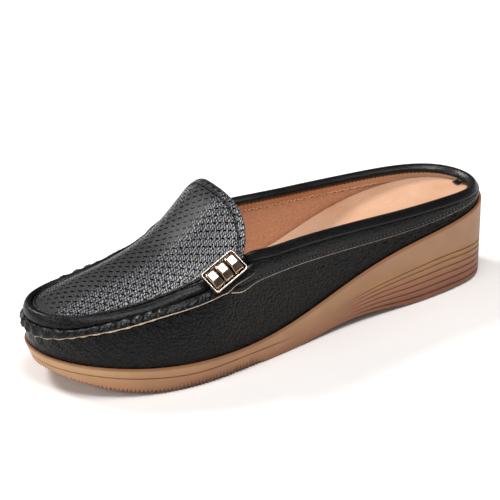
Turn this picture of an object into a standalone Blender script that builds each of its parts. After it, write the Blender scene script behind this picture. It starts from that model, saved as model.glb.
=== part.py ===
"""Wedge mule, left shoe: moulded wedge sole, insole, hollow moccasin upper, bands, seam and buckle.

Metres, +X to the toe, +Y to the wearer's left (the outer side), +Z up.
Every curved piece is worked out from the same outline ring and the same wall profile.
A ring angle of 0 is the back of the heel, a half turn is the tip of the toe.
"""
import math

import bmesh
import bpy
import numpy as np

for leftover in list(bpy.data.objects):
    bpy.data.objects.remove(leftover, do_unlink=True)

# Sizes of the shoe
SOLE_LENGTH = 0.2506
OUTER_REACH = 0.0449
INNER_REACH = 0.0398
TOE_SWING = 0.0025
WEDGE_HEIGHT = 0.0412
SHANK_LIFT = 0.0033
TOE_SPRING = 0.0100
COLLAR_HEIGHT = 0.0574
CREST_HEIGHT = 0.0810
INSOLE_HEIGHT = 0.0436
INSOLE_THICKNESS = 0.0030
WALL = 0.0018
GAP = 0.0003

# Widest insets of the wall's edge line and rim, and how far the crest stands back at the toe
EDGE_INSET = 0.0088
RIM_INSET = 0.0176
CREST_SETBACK = 0.0280

# Sizes of the sole unit
LIP_WIDTH = 0.0011
LEDGE_DEPTH = 0.0019
SOLE_TAPER = 0.0017
TOE_TAPER = 0.0016
GROOVE_DEPTH = 0.0008
RIB_DEPTH = 0.0008
TREAD_BEVEL = 0.0010
TREAD_PITCH = 0.0090
TREAD_WIDTH = 0.0026
TREAD_DEPTH = 0.0014
TREAD_RIM = 0.0055

# Sizes of the bands, the seam and the hem
BAND_THICKNESS = 0.0012
COLLAR_BAND_THICKNESS = 0.0009
BINDING_THICKNESS = 0.0011
BINDING_OUTSIDE = 0.0030
BINDING_INSIDE = 0.0034
SEAM_CROWN_SIDE = 0.0017
SEAM_WALL_SIDE = 0.0036
SEAM_HEIGHT = 0.0020
HEM_WIDTH = 0.0032
HEM_RISE = 0.0007
GATHER_PITCH = 0.0065
GATHER_RISE = 0.0007

# Sizes of the buckle on the outer tab
BUCKLE_LENGTH = 0.0194
BUCKLE_WIDTH = 0.0124
BUCKLE_RAIL = 0.0014
BUCKLE_HEIGHT = 0.0018
BLOCK_COUNT = 3
BLOCK_GAP = 0.0010
BLOCK_HEIGHT = 0.0028
BUCKLE_TILT = math.radians(10.0)

# Shares along the shoe where pieces start and stop
THROAT_SHARE = 0.618
SEAM_START_SHARE = 0.668
TAB_END_SHARE = 0.603
COLLAR_BAND_END_SHARE = 0.662
BINDING_END_SHARE = 0.598
RIB_END_SHARE = 0.41
BUCKLE_SHARE = 0.661
BUCKLE_LEVEL = 0.97

# Columns: share of length where a field of tread channels starts, share where it ends
TREAD_FIELDS = (
    (0.035, 0.165),
    (0.535, 0.900),
)

# Columns: share of length, outer reach share, inner reach share
OUTLINE = (
    (0.05, 0.465, 0.538),
    (0.12, 0.584, 0.683),
    (0.22, 0.648, 0.749),
    (0.34, 0.690, 0.761),
    (0.46, 0.782, 0.739),
    (0.58, 0.902, 0.824),
    (0.70, 1.000, 0.970),
    (0.80, 0.969, 1.000),
    (0.89, 0.791, 0.884),
    (0.95, 0.552, 0.673),
)

# Columns: share of length, sole edge height, insole height
FLOOR_LINES = (
    (0.00, 1.000, 0.983),
    (0.12, 0.900, 0.990),
    (0.25, 0.791, 0.894),
    (0.40, 0.549, 0.624),
    (0.55, 0.335, 0.420),
    (0.70, 0.306, 0.338),
    (0.85, 0.364, 0.386),
    (1.00, 0.466, 0.484),
)

# Columns: share of length, outer inset share, inner inset share, outer height share, inner height share
EDGE_LINE = (
    (0.00, 0.250, 0.250, 0.756, 0.756),
    (0.12, 0.250, 0.250, 0.732, 0.732),
    (0.25, 0.250, 0.250, 0.716, 0.716),
    (0.40, 0.261, 0.261, 0.739, 0.739),
    (0.50, 0.273, 0.273, 0.765, 0.765),
    (0.56, 0.273, 0.273, 0.768, 0.768),
    (0.618, 0.273, 0.273, 0.770, 0.770),
    (0.66, 0.318, 0.409, 0.762, 0.755),
    (0.70, 0.398, 0.705, 0.730, 0.705),
    (0.74, 0.455, 0.909, 0.706, 0.660),
    (0.82, 0.477, 1.000, 0.666, 0.608),
    (0.89, 0.386, 0.773, 0.610, 0.580),
    (0.95, 0.227, 0.386, 0.562, 0.545),
    (1.00, 0.091, 0.091, 0.488, 0.488),
)

# Columns: share of length, outer inset share, inner inset share, outer height share, inner height share
RIM_LINE = (
    (0.00, 0.227, 0.227, 0.844, 0.844),
    (0.12, 0.227, 0.227, 0.886, 0.886),
    (0.25, 0.227, 0.227, 0.910, 0.910),
    (0.40, 0.239, 0.239, 0.953, 0.953),
    (0.50, 0.261, 0.261, 0.983, 0.983),
    (0.56, 0.284, 0.284, 0.998, 0.998),
    (0.618, 0.330, 0.307, 0.998, 0.998),
    (0.66, 0.511, 0.580, 0.876, 0.876),
    (0.74, 0.625, 0.943, 0.790, 0.766),
    (0.82, 0.693, 1.000, 0.722, 0.716),
    (0.89, 0.602, 0.835, 0.684, 0.684),
    (0.95, 0.375, 0.477, 0.662, 0.662),
    (1.00, 0.125, 0.125, 0.655, 0.655),
)

# Columns: share of length, crest height share
CREST = (
    (0.56, 0.974),
    (0.60, 0.960),
    (0.62, 0.936),
    (0.66, 0.854),
    (0.70, 0.765),
    (0.74, 0.700),
    (0.79, 0.651),
    (0.86, 0.591),
    (0.93, 0.523),
    (1.00, 0.454),
)

# Columns: share of length, crest setback share, sideways share of the toe swing, roundness, sweep
CROWN = (
    (0.618, 0.232, -0.600, 3.0, 7.0),
    (0.66, 0.179, -0.200, 2.7, 4.0),
    (0.74, 0.143, 0.200, 2.4, 1.6),
    (0.82, 0.286, 0.200, 2.1, 1.0),
    (0.89, 0.500, -0.200, 2.0, 1.0),
    (0.95, 0.750, -0.600, 2.0, 1.0),
    (1.00, 1.000, -1.000, 2.0, 1.0),
)

# Columns: share of length, top rib height share of the wedge height
RIB_LINE = (
    (0.00, 0.425),
    (0.06, 0.458),
    (0.13, 0.488),
    (0.21, 0.463),
    (0.30, 0.400),
    (0.40, 0.308),
    (0.48, 0.262),
    (1.00, 0.262),
)

# Columns: share of length, forefoot groove height share of the wedge height
GROOVE_LINE = (
    (0.00, 0.185),
    (0.58, 0.185),
    (0.65, 0.197),
    (0.74, 0.189),
    (0.82, 0.223),
    (0.89, 0.267),
    (0.95, 0.311),
    (1.00, 0.337),
)

# Columns: heel height share up to the top rib, heel groove share, forefoot band share, forefoot groove share
SIDE_LEVELS = (
    (0.00, 0.0, 0.00, 0.0),
    (0.07, 0.0, 0.20, 0.0),
    (0.19, 1.0, 0.45, 0.0),
    (0.27, 0.0, 0.70, 0.0),
    (0.39, 1.0, 0.92, 0.0),
    (0.47, 0.0, 1.00, 1.0),
    (0.59, 1.0, 1.08, 0.0),
    (0.67, 0.0, 1.20, 0.0),
    (0.79, 1.0, 1.40, 0.0),
    (0.87, 0.0, 1.60, 0.0),
    (0.98, 1.0, 1.75, 0.0),
    (1.10, 0.0, 1.85, 0.0),
    (1.50, 0.0, 1.92, 0.0),
    (1.94, 0.0, 1.96, 0.0),
)

PROFILE_KNOTS = np.array([0.0, 0.30, 0.62, 0.82, 1.0])
TURN = 2.0 * math.pi


def spline(knots, values, where):
    """Natural cubic curve through the rows; values may have further axes behind the first."""
    knots = np.asarray(knots, float)
    values = np.asarray(values, float)
    where = np.asarray(where, float)
    count = len(knots)
    step = np.diff(knots)
    flat = values.reshape(count, -1)
    matrix = np.eye(count)
    right = np.zeros_like(flat)
    for row in range(1, count - 1):
        matrix[row, row - 1] = step[row - 1]
        matrix[row, row] = 2.0 * (step[row - 1] + step[row])
        matrix[row, row + 1] = step[row]
        rise = (flat[row + 1] - flat[row]) / step[row]
        run = (flat[row] - flat[row - 1]) / step[row - 1]
        right[row] = 6.0 * (rise - run)
    bend = np.linalg.solve(matrix, right)
    cell = np.clip(np.searchsorted(knots, where.ravel(), side="right") - 1, 0, count - 2)
    size = step[cell][:, None]
    near = (where.ravel()[:, None] - knots[cell][:, None]) / size
    far = 1.0 - near
    curve = far * flat[cell] + near * flat[cell + 1]
    curve += ((far ** 3 - far) * bend[cell] + (near ** 3 - near) * bend[cell + 1]) * size ** 2 / 6.0
    return curve.reshape(where.shape + values.shape[1:])


def column(table, index, share):
    """One column of a table, read off smoothly at the shares asked for."""
    rows = np.array(table)
    return spline(rows[:, 0], rows[:, index], share)


def share_of(angle):
    """Share of the length at a ring angle."""
    return 0.5 * (1.0 - np.cos(angle))


def angle_of(share):
    """Ring angle on the outer side at a share of the length."""
    return float(np.arccos(1.0 - 2.0 * share))


def smooth_step(low, high, value):
    """Rises from 0 to 1 between two values with level ends."""
    part = np.clip((value - low) / (high - low), 0.0, 1.0)
    return part * part * (3.0 - 2.0 * part)


def outline_rows():
    """Ring angles and sideways reach all round, with a few rows repeated past each end."""
    rows = np.array(OUTLINE)
    angles = np.arccos(1.0 - 2.0 * rows[:, 0])
    outer = rows[:, 1] * OUTER_REACH
    inner = -rows[:, 2] * INNER_REACH
    ring = np.concatenate([[0.0], angles, [math.pi], TURN - angles[::-1]])
    reach = np.concatenate([[0.0], outer, [-TOE_SWING], inner[::-1]])
    ring = np.concatenate([ring[-5:] - TURN, ring, ring[:5] + TURN])
    reach = np.concatenate([reach[-5:], reach, reach[:5]])
    return ring, reach


RING_ANGLES, RING_REACH = outline_rows()


def ring(angle, inset):
    """Plan position on the outline moved inward by the inset, and the outward direction."""
    angle = np.mod(np.asarray(angle, float), TURN)
    tiny = 1e-4
    reach = spline(RING_ANGLES, RING_REACH, angle)
    ahead = spline(RING_ANGLES, RING_REACH, angle + tiny)
    behind = spline(RING_ANGLES, RING_REACH, angle - tiny)
    along = SOLE_LENGTH * 0.5 * np.sin(angle)
    aside = (ahead - behind) / (2.0 * tiny)
    size = np.hypot(along, aside)
    out = np.stack([-aside / size, along / size], axis=-1)
    place = np.stack([SOLE_LENGTH * share_of(angle), reach], axis=-1)
    return place - out * np.asarray(inset, float)[..., None], out


def feather_height(share):
    """Height of the sole's top edge."""
    return column(FLOOR_LINES, 1, share) * WEDGE_HEIGHT


def insole_height(share):
    """Height of the insole's upper face."""
    return column(FLOOR_LINES, 2, share) * INSOLE_HEIGHT


def ground_height(share):
    """Height of the tread: flat under heel and ball, lifted at the shank and the toe."""
    toe = TOE_SPRING * np.clip((share - 0.76) / 0.24, 0.0, 1.0) ** 1.9
    shank = SHANK_LIFT * np.sin(math.pi * np.clip((share - 0.18) / 0.35, 0.0, 1.0)) ** 2
    return toe + shank


def feather_inset():
    """How far the upper stands inside the sole's edge."""
    return LIP_WIDTH + 1.5 * GAP


def profile_points(angle):
    """Five points of the wall at each angle: foot, belly, edge line, knuckle and rim."""
    share = share_of(angle)
    outer = np.sin(angle) >= 0.0
    foot = feather_height(share) - LEDGE_DEPTH + GAP
    edge_in = np.where(outer, column(EDGE_LINE, 1, share), column(EDGE_LINE, 2, share)) * EDGE_INSET
    edge = np.where(outer, column(EDGE_LINE, 3, share), column(EDGE_LINE, 4, share)) * COLLAR_HEIGHT
    rim_in = np.where(outer, column(RIM_LINE, 1, share), column(RIM_LINE, 2, share)) * RIM_INSET
    rim = np.where(outer, column(RIM_LINE, 3, share), column(RIM_LINE, 4, share)) * COLLAR_HEIGHT
    rim -= (BINDING_THICKNESS + GAP) * (1.0 - smooth_step(0.585, 0.64, share))
    front = smooth_step(0.62, 0.80, share)
    foot_in = np.full_like(share, feather_inset())
    belly_in = foot_in + 0.15 * (edge_in - foot_in) - 0.0006 * front
    belly = foot + 0.46 * (edge - foot)
    knuckle_in = 0.5 * (edge_in + rim_in) - 0.09 * (rim - edge)
    knuckle = 0.5 * (edge + rim) + 0.09 * (rim_in - edge_in)
    insets = np.stack([foot_in, belly_in, edge_in, knuckle_in, rim_in])
    heights = np.stack([foot, belly, edge, knuckle, rim])
    return insets, heights


def wall(angle, level, off=0.0):
    """Point on the wall moved outward by off, with its normal; all inputs broadcast together."""
    angle, level, off = np.broadcast_arrays(
        np.asarray(angle, float), np.asarray(level, float), np.asarray(off, float))
    flat_angle = angle.ravel()
    insets, heights = profile_points(flat_angle)
    pick = np.arange(flat_angle.size)
    tiny = 1e-3
    reads = []
    for shift in (-tiny, 0.0, tiny):
        place = np.clip(level.ravel() + shift, 0.0, 1.0)
        weights = spline(PROFILE_KNOTS, np.eye(5), place)
        reads.append((np.einsum("nk,kn->n", weights, insets), np.einsum("nk,kn->n", weights, heights)))
    inward = reads[2][0] - reads[0][0]
    upward = reads[2][1] - reads[0][1]
    size = np.hypot(inward, upward)
    inward = inward / size
    upward = upward / size
    shift = off.ravel()
    inset = reads[1][0] - shift * upward
    height = reads[1][1] + shift * inward
    plan, out = ring(flat_angle, inset)
    point = np.column_stack([plan, height])
    normal = np.column_stack([out * upward[:, None], inward])[pick]
    return point.reshape(angle.shape + (3,)), normal.reshape(angle.shape + (3,))


def crest_height(share):
    """Height of the crest line over the foot."""
    return column(CREST, 1, share) * CREST_HEIGHT


def crown_plain(angle, reach):
    """Crown between the rim, reach 0, and the crest, reach 1."""
    share = share_of(angle)
    rim, _ = wall(angle, 1.0)
    back = column(CROWN, 1, share) * CREST_SETBACK
    crest = np.stack([SOLE_LENGTH * share - back, column(CROWN, 2, share) * TOE_SWING], axis=-1)
    sweep = 1.0 - (1.0 - reach) ** column(CROWN, 4, share)
    part = np.stack([sweep, reach], axis=-1)
    plan = rim[..., :2] + (crest - rim[..., :2]) * part
    drop = crest_height(rim[..., 0] / SOLE_LENGTH) - rim[..., 2]
    round_off = column(CROWN, 3, share)
    height = crest_height(plan[..., 0] / SOLE_LENGTH) - drop * (1.0 - reach) ** round_off
    return np.concatenate([plan, height[..., None]], axis=-1)


def crown(angle, reach, off=0.0):
    """Crown point moved outward by off, with its normal."""
    angle, reach, off = np.broadcast_arrays(
        np.asarray(angle, float), np.asarray(reach, float), np.asarray(off, float))
    tiny = 2e-3
    point = crown_plain(angle, reach)
    low = np.clip(reach - tiny, 0.0, 1.0)
    high = np.clip(reach + tiny, 0.0, 1.0)
    across = crown_plain(angle, high) - crown_plain(angle, low)
    along = crown_plain(angle + tiny, reach) - crown_plain(angle - tiny, reach)
    normal = np.cross(along, across)
    normal /= np.maximum(np.linalg.norm(normal, axis=-1, keepdims=True), 1e-12)
    normal *= np.where(normal[..., 2:] < 0.0, -1.0, 1.0)
    return point + normal * off[..., None], normal


def rim_corner(angle, off):
    """Rim point moved by off from the wall and from the crown alike."""
    rim, side_normal = wall(angle, 0.985)
    rim, _ = wall(angle, 1.0)
    _, top_normal = crown(angle, 0.03)
    dot = np.sum(side_normal * top_normal, axis=-1, keepdims=True)
    return rim + (side_normal + top_normal) / (1.0 + np.maximum(dot, -0.2)) * off


built = {}


class Mesh:
    """Collects points and faces of one closed solid."""

    def __init__(self):
        self.points = []
        self.faces = []

    def add(self, points):
        points = np.asarray(points, float)
        start = len(self.points)
        self.points.extend(points.reshape(-1, 3).tolist())
        return np.arange(start, len(self.points)).reshape(points.shape[:-1])

    def strip(self, one, two):
        """Quads between two rows of the same length."""
        for a, b, c, d in zip(one[:-1], one[1:], two[1:], two[:-1]):
            corners = []
            for corner in (a, b, c, d):
                if corner not in corners:
                    corners.append(int(corner))
            if len(corners) > 2:
                self.faces.append(corners)

    def grid(self, grid):
        """Quads over a whole grid of rows."""
        for one, two in zip(grid[:-1], grid[1:]):
            self.strip(one, two)

    def face(self, corners):
        self.faces.append([int(corner) for corner in corners])


def material(name, colour, roughness, metallic=0.0):
    shade = bpy.data.materials.new(name)
    shade.use_nodes = True
    node = shade.node_tree.nodes["Principled BSDF"]
    node.inputs["Base Color"].default_value = (*colour, 1.0)
    node.inputs["Roughness"].default_value = roughness
    node.inputs["Metallic"].default_value = metallic
    return shade


def finish(name, mesh, shade, parent):
    """Makes the object, turns its faces outward and shades it smooth."""
    data = bpy.data.meshes.new(name)
    data.from_pydata(mesh.points, [], mesh.faces)
    work = bmesh.new()
    work.from_mesh(data)
    bmesh.ops.recalc_face_normals(work, faces=work.faces)
    if work.calc_volume(signed=True) < 0.0:
        bmesh.ops.reverse_faces(work, faces=work.faces)
    for face in work.faces:
        face.smooth = True
    work.to_mesh(data)
    work.free()
    data.materials.append(shade)
    built[name] = np.array(mesh.points)
    thing = bpy.data.objects.new(name, data)
    bpy.context.scene.collection.objects.link(thing)
    thing.parent = parent
    return thing


def half_ring(count, low=0.0, high=math.pi):
    """Ring angles of one side, evenly spaced."""
    return np.linspace(low, high, count + 1)


def whole_ring(half):
    """The angles of one side followed by their mirror images."""
    return np.concatenate([half, TURN - half[-2:0:-1]])


def cap(mesh, ids, height, columns):
    """Closes a ring of points with rows across it, lifted to a height function."""
    points = np.array(mesh.points)[ids]
    count = len(ids)
    half = count // 2
    part = np.linspace(0.0, 1.0, columns + 1)[1:-1]
    rows = []
    for index in range(1, half):
        left = points[index]
        right = points[count - index]
        across = left[None] + (right - left)[None] * part[:, None]
        across[:, 2] = height(across[:, 0], across[:, 1], left[2], part)
        rows.append(np.concatenate([[ids[index]], mesh.add(across), [ids[count - index]]]))
    mesh.grid(rows)
    for one, two in zip(rows[0][:-1], rows[0][1:]):
        mesh.face([one, two, ids[0]])
    for one, two in zip(rows[-1][:-1], rows[-1][1:]):
        mesh.face([one, two, ids[half]])


anchor = bpy.data.objects.new("shoe", None)
bpy.context.scene.collection.objects.link(anchor)

# Sole: a moulded wedge with a lip, a ledge for the upper, a groove and heel ribs
sole_angles = whole_ring(half_ring(36))
sole_share = share_of(sole_angles)
edge_height = feather_height(sole_share)
ground = ground_height(sole_share)
rib_top = column(RIB_LINE, 1, sole_share) * WEDGE_HEIGHT
groove = column(GROOVE_LINE, 1, sole_share) * WEDGE_HEIGHT
front_weight = smooth_step(0.42, 0.58, sole_share)
rib_fade = 1.0 - smooth_step(RIB_END_SHARE - 0.05, RIB_END_SHARE, sole_share)
groove_fade = smooth_step(0.56, 0.60, sole_share)
toe_taper = TOE_TAPER * smooth_step(0.86, 1.0, sole_share)
levels = []
for heel_part, rib, front_part, cut in SIDE_LEVELS:
    below = np.clip(heel_part, 0.0, 1.0)
    above = np.clip(heel_part - 1.0, 0.0, 1.0)
    heel_height = ground + (rib_top - ground) * below + (edge_height - rib_top) * above
    below = np.clip(front_part, 0.0, 1.0)
    above = np.clip(front_part - 1.0, 0.0, 1.0)
    front_height = ground + (groove - ground) * below + (edge_height - groove) * above
    height = heel_height * (1.0 - front_weight) + front_height * front_weight
    part = 1.0 - (height - ground) / (edge_height - ground)
    taper = (SOLE_TAPER + toe_taper) * part
    depth = RIB_DEPTH * rib * rib_fade * (1.0 - front_weight) + GROOVE_DEPTH * cut * groove_fade
    levels.append((taper + depth, height))
lip_in = LIP_WIDTH
ledge_in = feather_inset() + WALL + 1.5 * GAP
seat = insole_height(sole_share) - INSOLE_THICKNESS - 1.6 * GAP
levels.append((np.full_like(ground, 0.3 * LIP_WIDTH), edge_height))
levels.append((np.full_like(ground, lip_in), edge_height))
levels.append((np.full_like(ground, lip_in), edge_height - LEDGE_DEPTH))
levels.append((np.full_like(ground, ledge_in), edge_height - LEDGE_DEPTH))
levels.append((np.full_like(ground, ledge_in + 0.0004), seat))
sole = Mesh()
bottom_plan, _ = ring(sole_angles, SOLE_TAPER + TREAD_BEVEL + toe_taper)
rows = [sole.add(np.column_stack([bottom_plan, ground]))]
first_inset, first_height = levels[0]
levels[0] = (first_inset, first_height + 0.6 * TREAD_BEVEL)
for inset, height in levels:
    plan, _ = ring(sole_angles, inset)
    rows.append(sole.add(np.column_stack([plan, height])))
for one, two in zip(rows[:-1], rows[1:]):
    sole.strip(np.append(one, one[0]), np.append(two, two[0]))
cap(sole, rows[0], lambda x, y, edge, part: edge, 4)
cap(sole, rows[-1], lambda x, y, edge, part: edge, 4)
sole_shade = material("moulded_gum_rubber", (0.60, 0.36, 0.19), 0.55)
sole_thing = finish("sole", sole, sole_shade, anchor)

# Tread: channels straight across heel and forefoot, cut inside a plain rim
channels = Mesh()
for field_start, field_end in TREAD_FIELDS:
    for place in np.arange(field_start * SOLE_LENGTH, field_end * SOLE_LENGTH, TREAD_PITCH):
        angle = angle_of(place / SOLE_LENGTH)
        outer, inner = spline(RING_ANGLES, RING_REACH, [angle, TURN - angle])
        rim = SOLE_TAPER + TREAD_RIM
        roof = ground_height(place / SOLE_LENGTH) + TREAD_DEPTH
        box = []
        for height in (-TREAD_DEPTH, roof):
            box.append([[place, inner + rim, height], [place + TREAD_WIDTH, inner + rim, height],
                        [place + TREAD_WIDTH, outer - rim, height], [place, outer - rim, height]])
        low, high = channels.add(box)
        channels.strip(np.append(low, low[0]), np.append(high, high[0]))
        channels.face(low)
        channels.face(high)
cutter = finish("tread_channels", channels, sole_shade, anchor)
cutter.hide_render = True
cutter.display_type = "WIRE"
del built["tread_channels"]
cut = sole_thing.modifiers.new("tread", "BOOLEAN")
cut.operation = "DIFFERENCE"
cut.solver = "EXACT"
cut.object = cutter


def inner_inset_at(angle, height):
    """Inset of the wall's inner face at a height."""
    levels = np.linspace(0.0, 1.0, 41)
    reads = []
    for one_angle, one_height in zip(angle, height):
        points, _ = wall(np.full(41, one_angle), levels, -WALL)
        place, out = ring(np.array([one_angle]), np.array([0.0]))
        inset = -(points[:, :2] - place[0]) @ out[0]
        reads.append(np.interp(one_height, points[:, 2], inset))
    return np.array(reads)


# Insole: a thin padded footbed inside the upper
insole_angles = sole_angles
insole_share = share_of(insole_angles)
upper_face = insole_height(insole_share)
lower_face = upper_face - INSOLE_THICKNESS
mid_inset = inner_inset_at(insole_angles, 0.5 * (upper_face + lower_face))
top_inset = inner_inset_at(insole_angles, upper_face)
insole_inset = np.maximum(np.maximum(mid_inset, top_inset), feather_inset() + WALL) + 1.6 * GAP
insole = Mesh()
insole_rows = []
for inset, height in (
        (insole_inset + 0.0006, lower_face),
        (insole_inset, lower_face + 0.2 * INSOLE_THICKNESS),
        (insole_inset, upper_face - 0.3 * INSOLE_THICKNESS),
        (insole_inset + 0.0009, upper_face)):
    plan, _ = ring(insole_angles, inset)
    insole_rows.append(insole.add(np.column_stack([plan, height])))
for one, two in zip(insole_rows[:-1], insole_rows[1:]):
    insole.strip(np.append(one, one[0]), np.append(two, two[0]))


def dished(x, y, edge, part):
    """Insole face: a little lower in the middle of the heel than at its edge."""
    depth = 0.0008 * np.exp(-((x / SOLE_LENGTH - 0.14) / 0.12) ** 2)
    return edge - depth * 4.0 * part * (1.0 - part)


cap(insole, insole_rows[0], lambda x, y, edge, part: edge, 2)
cap(insole, insole_rows[-1], dished, 4)
insole_shade = material("peach_footbed_leather", (0.80, 0.52, 0.37), 0.6)
finish("insole", insole, insole_shade, anchor)

# Upper: one hollow wall, closed over the forefoot by the crown, open at the throat and underneath
throat = angle_of(THROAT_SHARE)
hem_end = angle_of(THROAT_SHARE + HEM_WIDTH / SOLE_LENGTH)
hem_foot = angle_of(THROAT_SHARE + (HEM_WIDTH + 0.0006) / SOLE_LENGTH)
band_ends = [angle_of(TAB_END_SHARE), angle_of(COLLAR_BAND_END_SHARE)]
rear_part = half_ring(17, 0.0, angle_of(BINDING_END_SHARE))
front_part = half_ring(17, angle_of(SEAM_START_SHARE), math.pi)
stations = np.unique(np.concatenate([rear_part, band_ends, [throat, hem_end, hem_foot], front_part]))
rear_half = stations[stations <= throat]
front_half = stations[stations >= throat]
upper_angles = whole_ring(stations)
count = len(upper_angles)
throat_at = len(rear_half) - 1
toe_at = count // 2
upper = Mesh()
outer_levels = np.array([0.0, 0.12, 0.30, 0.48, 0.62, 0.74, 0.87, 1.0])
inner_levels = np.array([0.0, 0.30, 0.62, 0.82, 1.0])
outer_points, _ = wall(upper_angles[:, None], outer_levels[None])
inner_points, _ = wall(upper_angles[:, None], inner_levels[None], -WALL)
front_mask = (np.arange(count) >= throat_at) & (np.arange(count) <= count - throat_at)
inner_points[front_mask, -1] = rim_corner(upper_angles[front_mask], -WALL)
outer_ids = upper.add(outer_points)
inner_ids = upper.add(inner_points)
for ids in (outer_ids, inner_ids):
    for level in range(ids.shape[1] - 1):
        one = ids[:, level]
        two = ids[:, level + 1]
        upper.strip(np.append(one, one[0]), np.append(two, two[0]))
upper.strip(np.append(outer_ids[:, 0], outer_ids[0, 0]), np.append(inner_ids[:, 0], inner_ids[0, 0]))
rear_loop = np.arange(-throat_at, throat_at + 1)
upper.strip(outer_ids[rear_loop, -1], inner_ids[rear_loop, -1])

reaches = np.array([0.0, 0.07, 0.16, 0.28, 0.42, 0.58, 0.78, 1.0])
hem_off = np.zeros(len(front_half))
hem_off[front_half <= hem_end] = HEM_RISE
throat_rows = []
for ids, off in ((outer_ids, 0.0), (inner_ids, -WALL)):
    lift = hem_off if off == 0.0 else np.full(len(front_half), off)
    ease = smooth_step(0.0, 0.07, reaches)
    lift_grid = lift[:, None] * (ease[None] if off == 0.0 else 1.0)
    outer_half, _ = crown(front_half[:, None], reaches[None], lift_grid)
    inner_half, _ = crown(TURN - front_half[:, None], reaches[None], lift_grid)
    grid_out = np.zeros((len(front_half), len(reaches)), int)
    grid_in = np.zeros_like(grid_out)
    for row in range(len(front_half)):
        left = ids[throat_at + row, -1]
        right = ids[(count - throat_at - row) % count, -1]
        inside = upper.add(outer_half[row, 1:])
        grid_out[row] = np.concatenate([[left], inside])
        if row == len(front_half) - 1:
            grid_in[row] = grid_out[row]
        else:
            mirrored = upper.add(inner_half[row, 1:-1])
            grid_in[row] = np.concatenate([[right], mirrored, [inside[-1]]])
    upper.grid(grid_out)
    upper.grid(grid_in)
    throat_rows.append(np.concatenate([grid_out[0], grid_in[0][-2::-1]]))
upper.strip(throat_rows[0], throat_rows[1])
upper_shade = material("black_smooth_leather", (0.016, 0.016, 0.018), 0.42)
finish("upper", upper, upper_shade, anchor)


def slab(name, outer, inner, shade):
    """Closed strip between an outer and an inner grid of the same shape."""
    mesh = Mesh()
    top = mesh.add(outer)
    low = mesh.add(inner)
    mesh.grid(top)
    mesh.grid(low)
    mesh.strip(top[:, 0], low[:, 0])
    mesh.strip(top[:, -1], low[:, -1])
    mesh.strip(top[0], low[0])
    mesh.strip(top[-1], low[-1])
    return finish(name, mesh, shade, anchor)


def round_the_back(share):
    """The upper's own stations from one side round the heel to the other."""
    half = stations[stations <= angle_of(share) + 1e-9]
    return np.concatenate([-half[:0:-1], half])


def round_the_front(share):
    """The upper's own stations from one side round the toe to the other."""
    half = stations[stations >= angle_of(share) - 1e-9]
    return np.concatenate([half, TURN - half[-2::-1]])


def refined(rows, steps):
    """Rows with further rows in straight lines between them."""
    rows = np.asarray(rows)
    part = np.arange((len(rows) - 1) * steps + 1) / steps
    low = np.minimum(part.astype(int), len(rows) - 2)
    weight = (part - low).reshape((-1,) + (1,) * (rows.ndim - 1))
    return rows[low] * (1.0 - weight) + rows[low + 1] * weight


def slope_length(angle):
    """Length of the wall's slope from the edge line to the rim."""
    insets, heights = profile_points(angle)
    first = np.hypot(insets[3] - insets[2], heights[3] - heights[2])
    return first + np.hypot(insets[4] - insets[3], heights[4] - heights[3])


def level_below_rim(angle, distance):
    """Wall level a given distance down the slope from the rim."""
    return 1.0 - 0.38 * distance / slope_length(angle)


def path_length(points):
    """Distance along a row of points from its start."""
    steps = np.linalg.norm(np.diff(points, axis=0), axis=1)
    return np.concatenate([[0.0], np.cumsum(steps)])


# Collar band: a strip round the back, from under one tab to under the other
band_shade = material("black_grained_leather", (0.014, 0.014, 0.015), 0.5)
angles = round_the_back(COLLAR_BAND_END_SHARE)
top_level = level_below_rim(angles, BINDING_OUTSIDE + GAP)
part = np.array([0.0, 0.12, 0.5, 1.0])
levels = 0.62 + (top_level - 0.62)[:, None] * part[None]
rise = 1.2 * GAP + COLLAR_BAND_THICKNESS * np.array([0.75, 1.0, 1.0, 0.8])
outer_face, _ = wall(angles[:, None], levels, rise[None])
inner_face, _ = wall(angles[:, None], levels, 1.2 * GAP)
slab("collar_band", outer_face, inner_face, band_shade)

# Binding: folded over the top edge of the collar, from one tab round the heel to the other
angles = round_the_back(BINDING_END_SHARE)
top, normal = wall(angles, np.ones_like(angles))
below, _ = wall(angles, np.full_like(angles, 0.97))
lift = top - below
lift /= np.linalg.norm(lift, axis=1, keepdims=True)
outside = level_below_rim(angles, BINDING_OUTSIDE)
inside = level_below_rim(angles, BINDING_INSIDE)
thick = BINDING_THICKNESS
low_out, _ = wall(angles, outside, GAP + 0.6 * thick)
low_in, _ = wall(angles, inside, -WALL - GAP - 0.6 * thick)
outer_face = np.stack([
    low_out,
    top + normal * (GAP + thick),
    top + normal * (GAP + 0.7 * thick) + lift * (GAP + 0.7 * thick),
    top - normal * 0.5 * WALL + lift * (GAP + thick),
    top - normal * (WALL + GAP + 0.7 * thick) + lift * (GAP + 0.7 * thick),
    top - normal * (WALL + GAP + thick),
    low_in], axis=1)
low_out, _ = wall(angles, outside, GAP)
low_in, _ = wall(angles, inside, -WALL - GAP)
inner_face = np.stack([
    low_out,
    top + normal * GAP,
    top + normal * GAP + lift * GAP,
    top - normal * 0.5 * WALL + lift * GAP,
    top - normal * (WALL + GAP) + lift * GAP,
    top - normal * (WALL + GAP),
    low_in], axis=1)
binding_shade = material("black_binding_leather", (0.012, 0.012, 0.013), 0.38)
slab("topline_binding", outer_face, inner_face, binding_shade)

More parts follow.
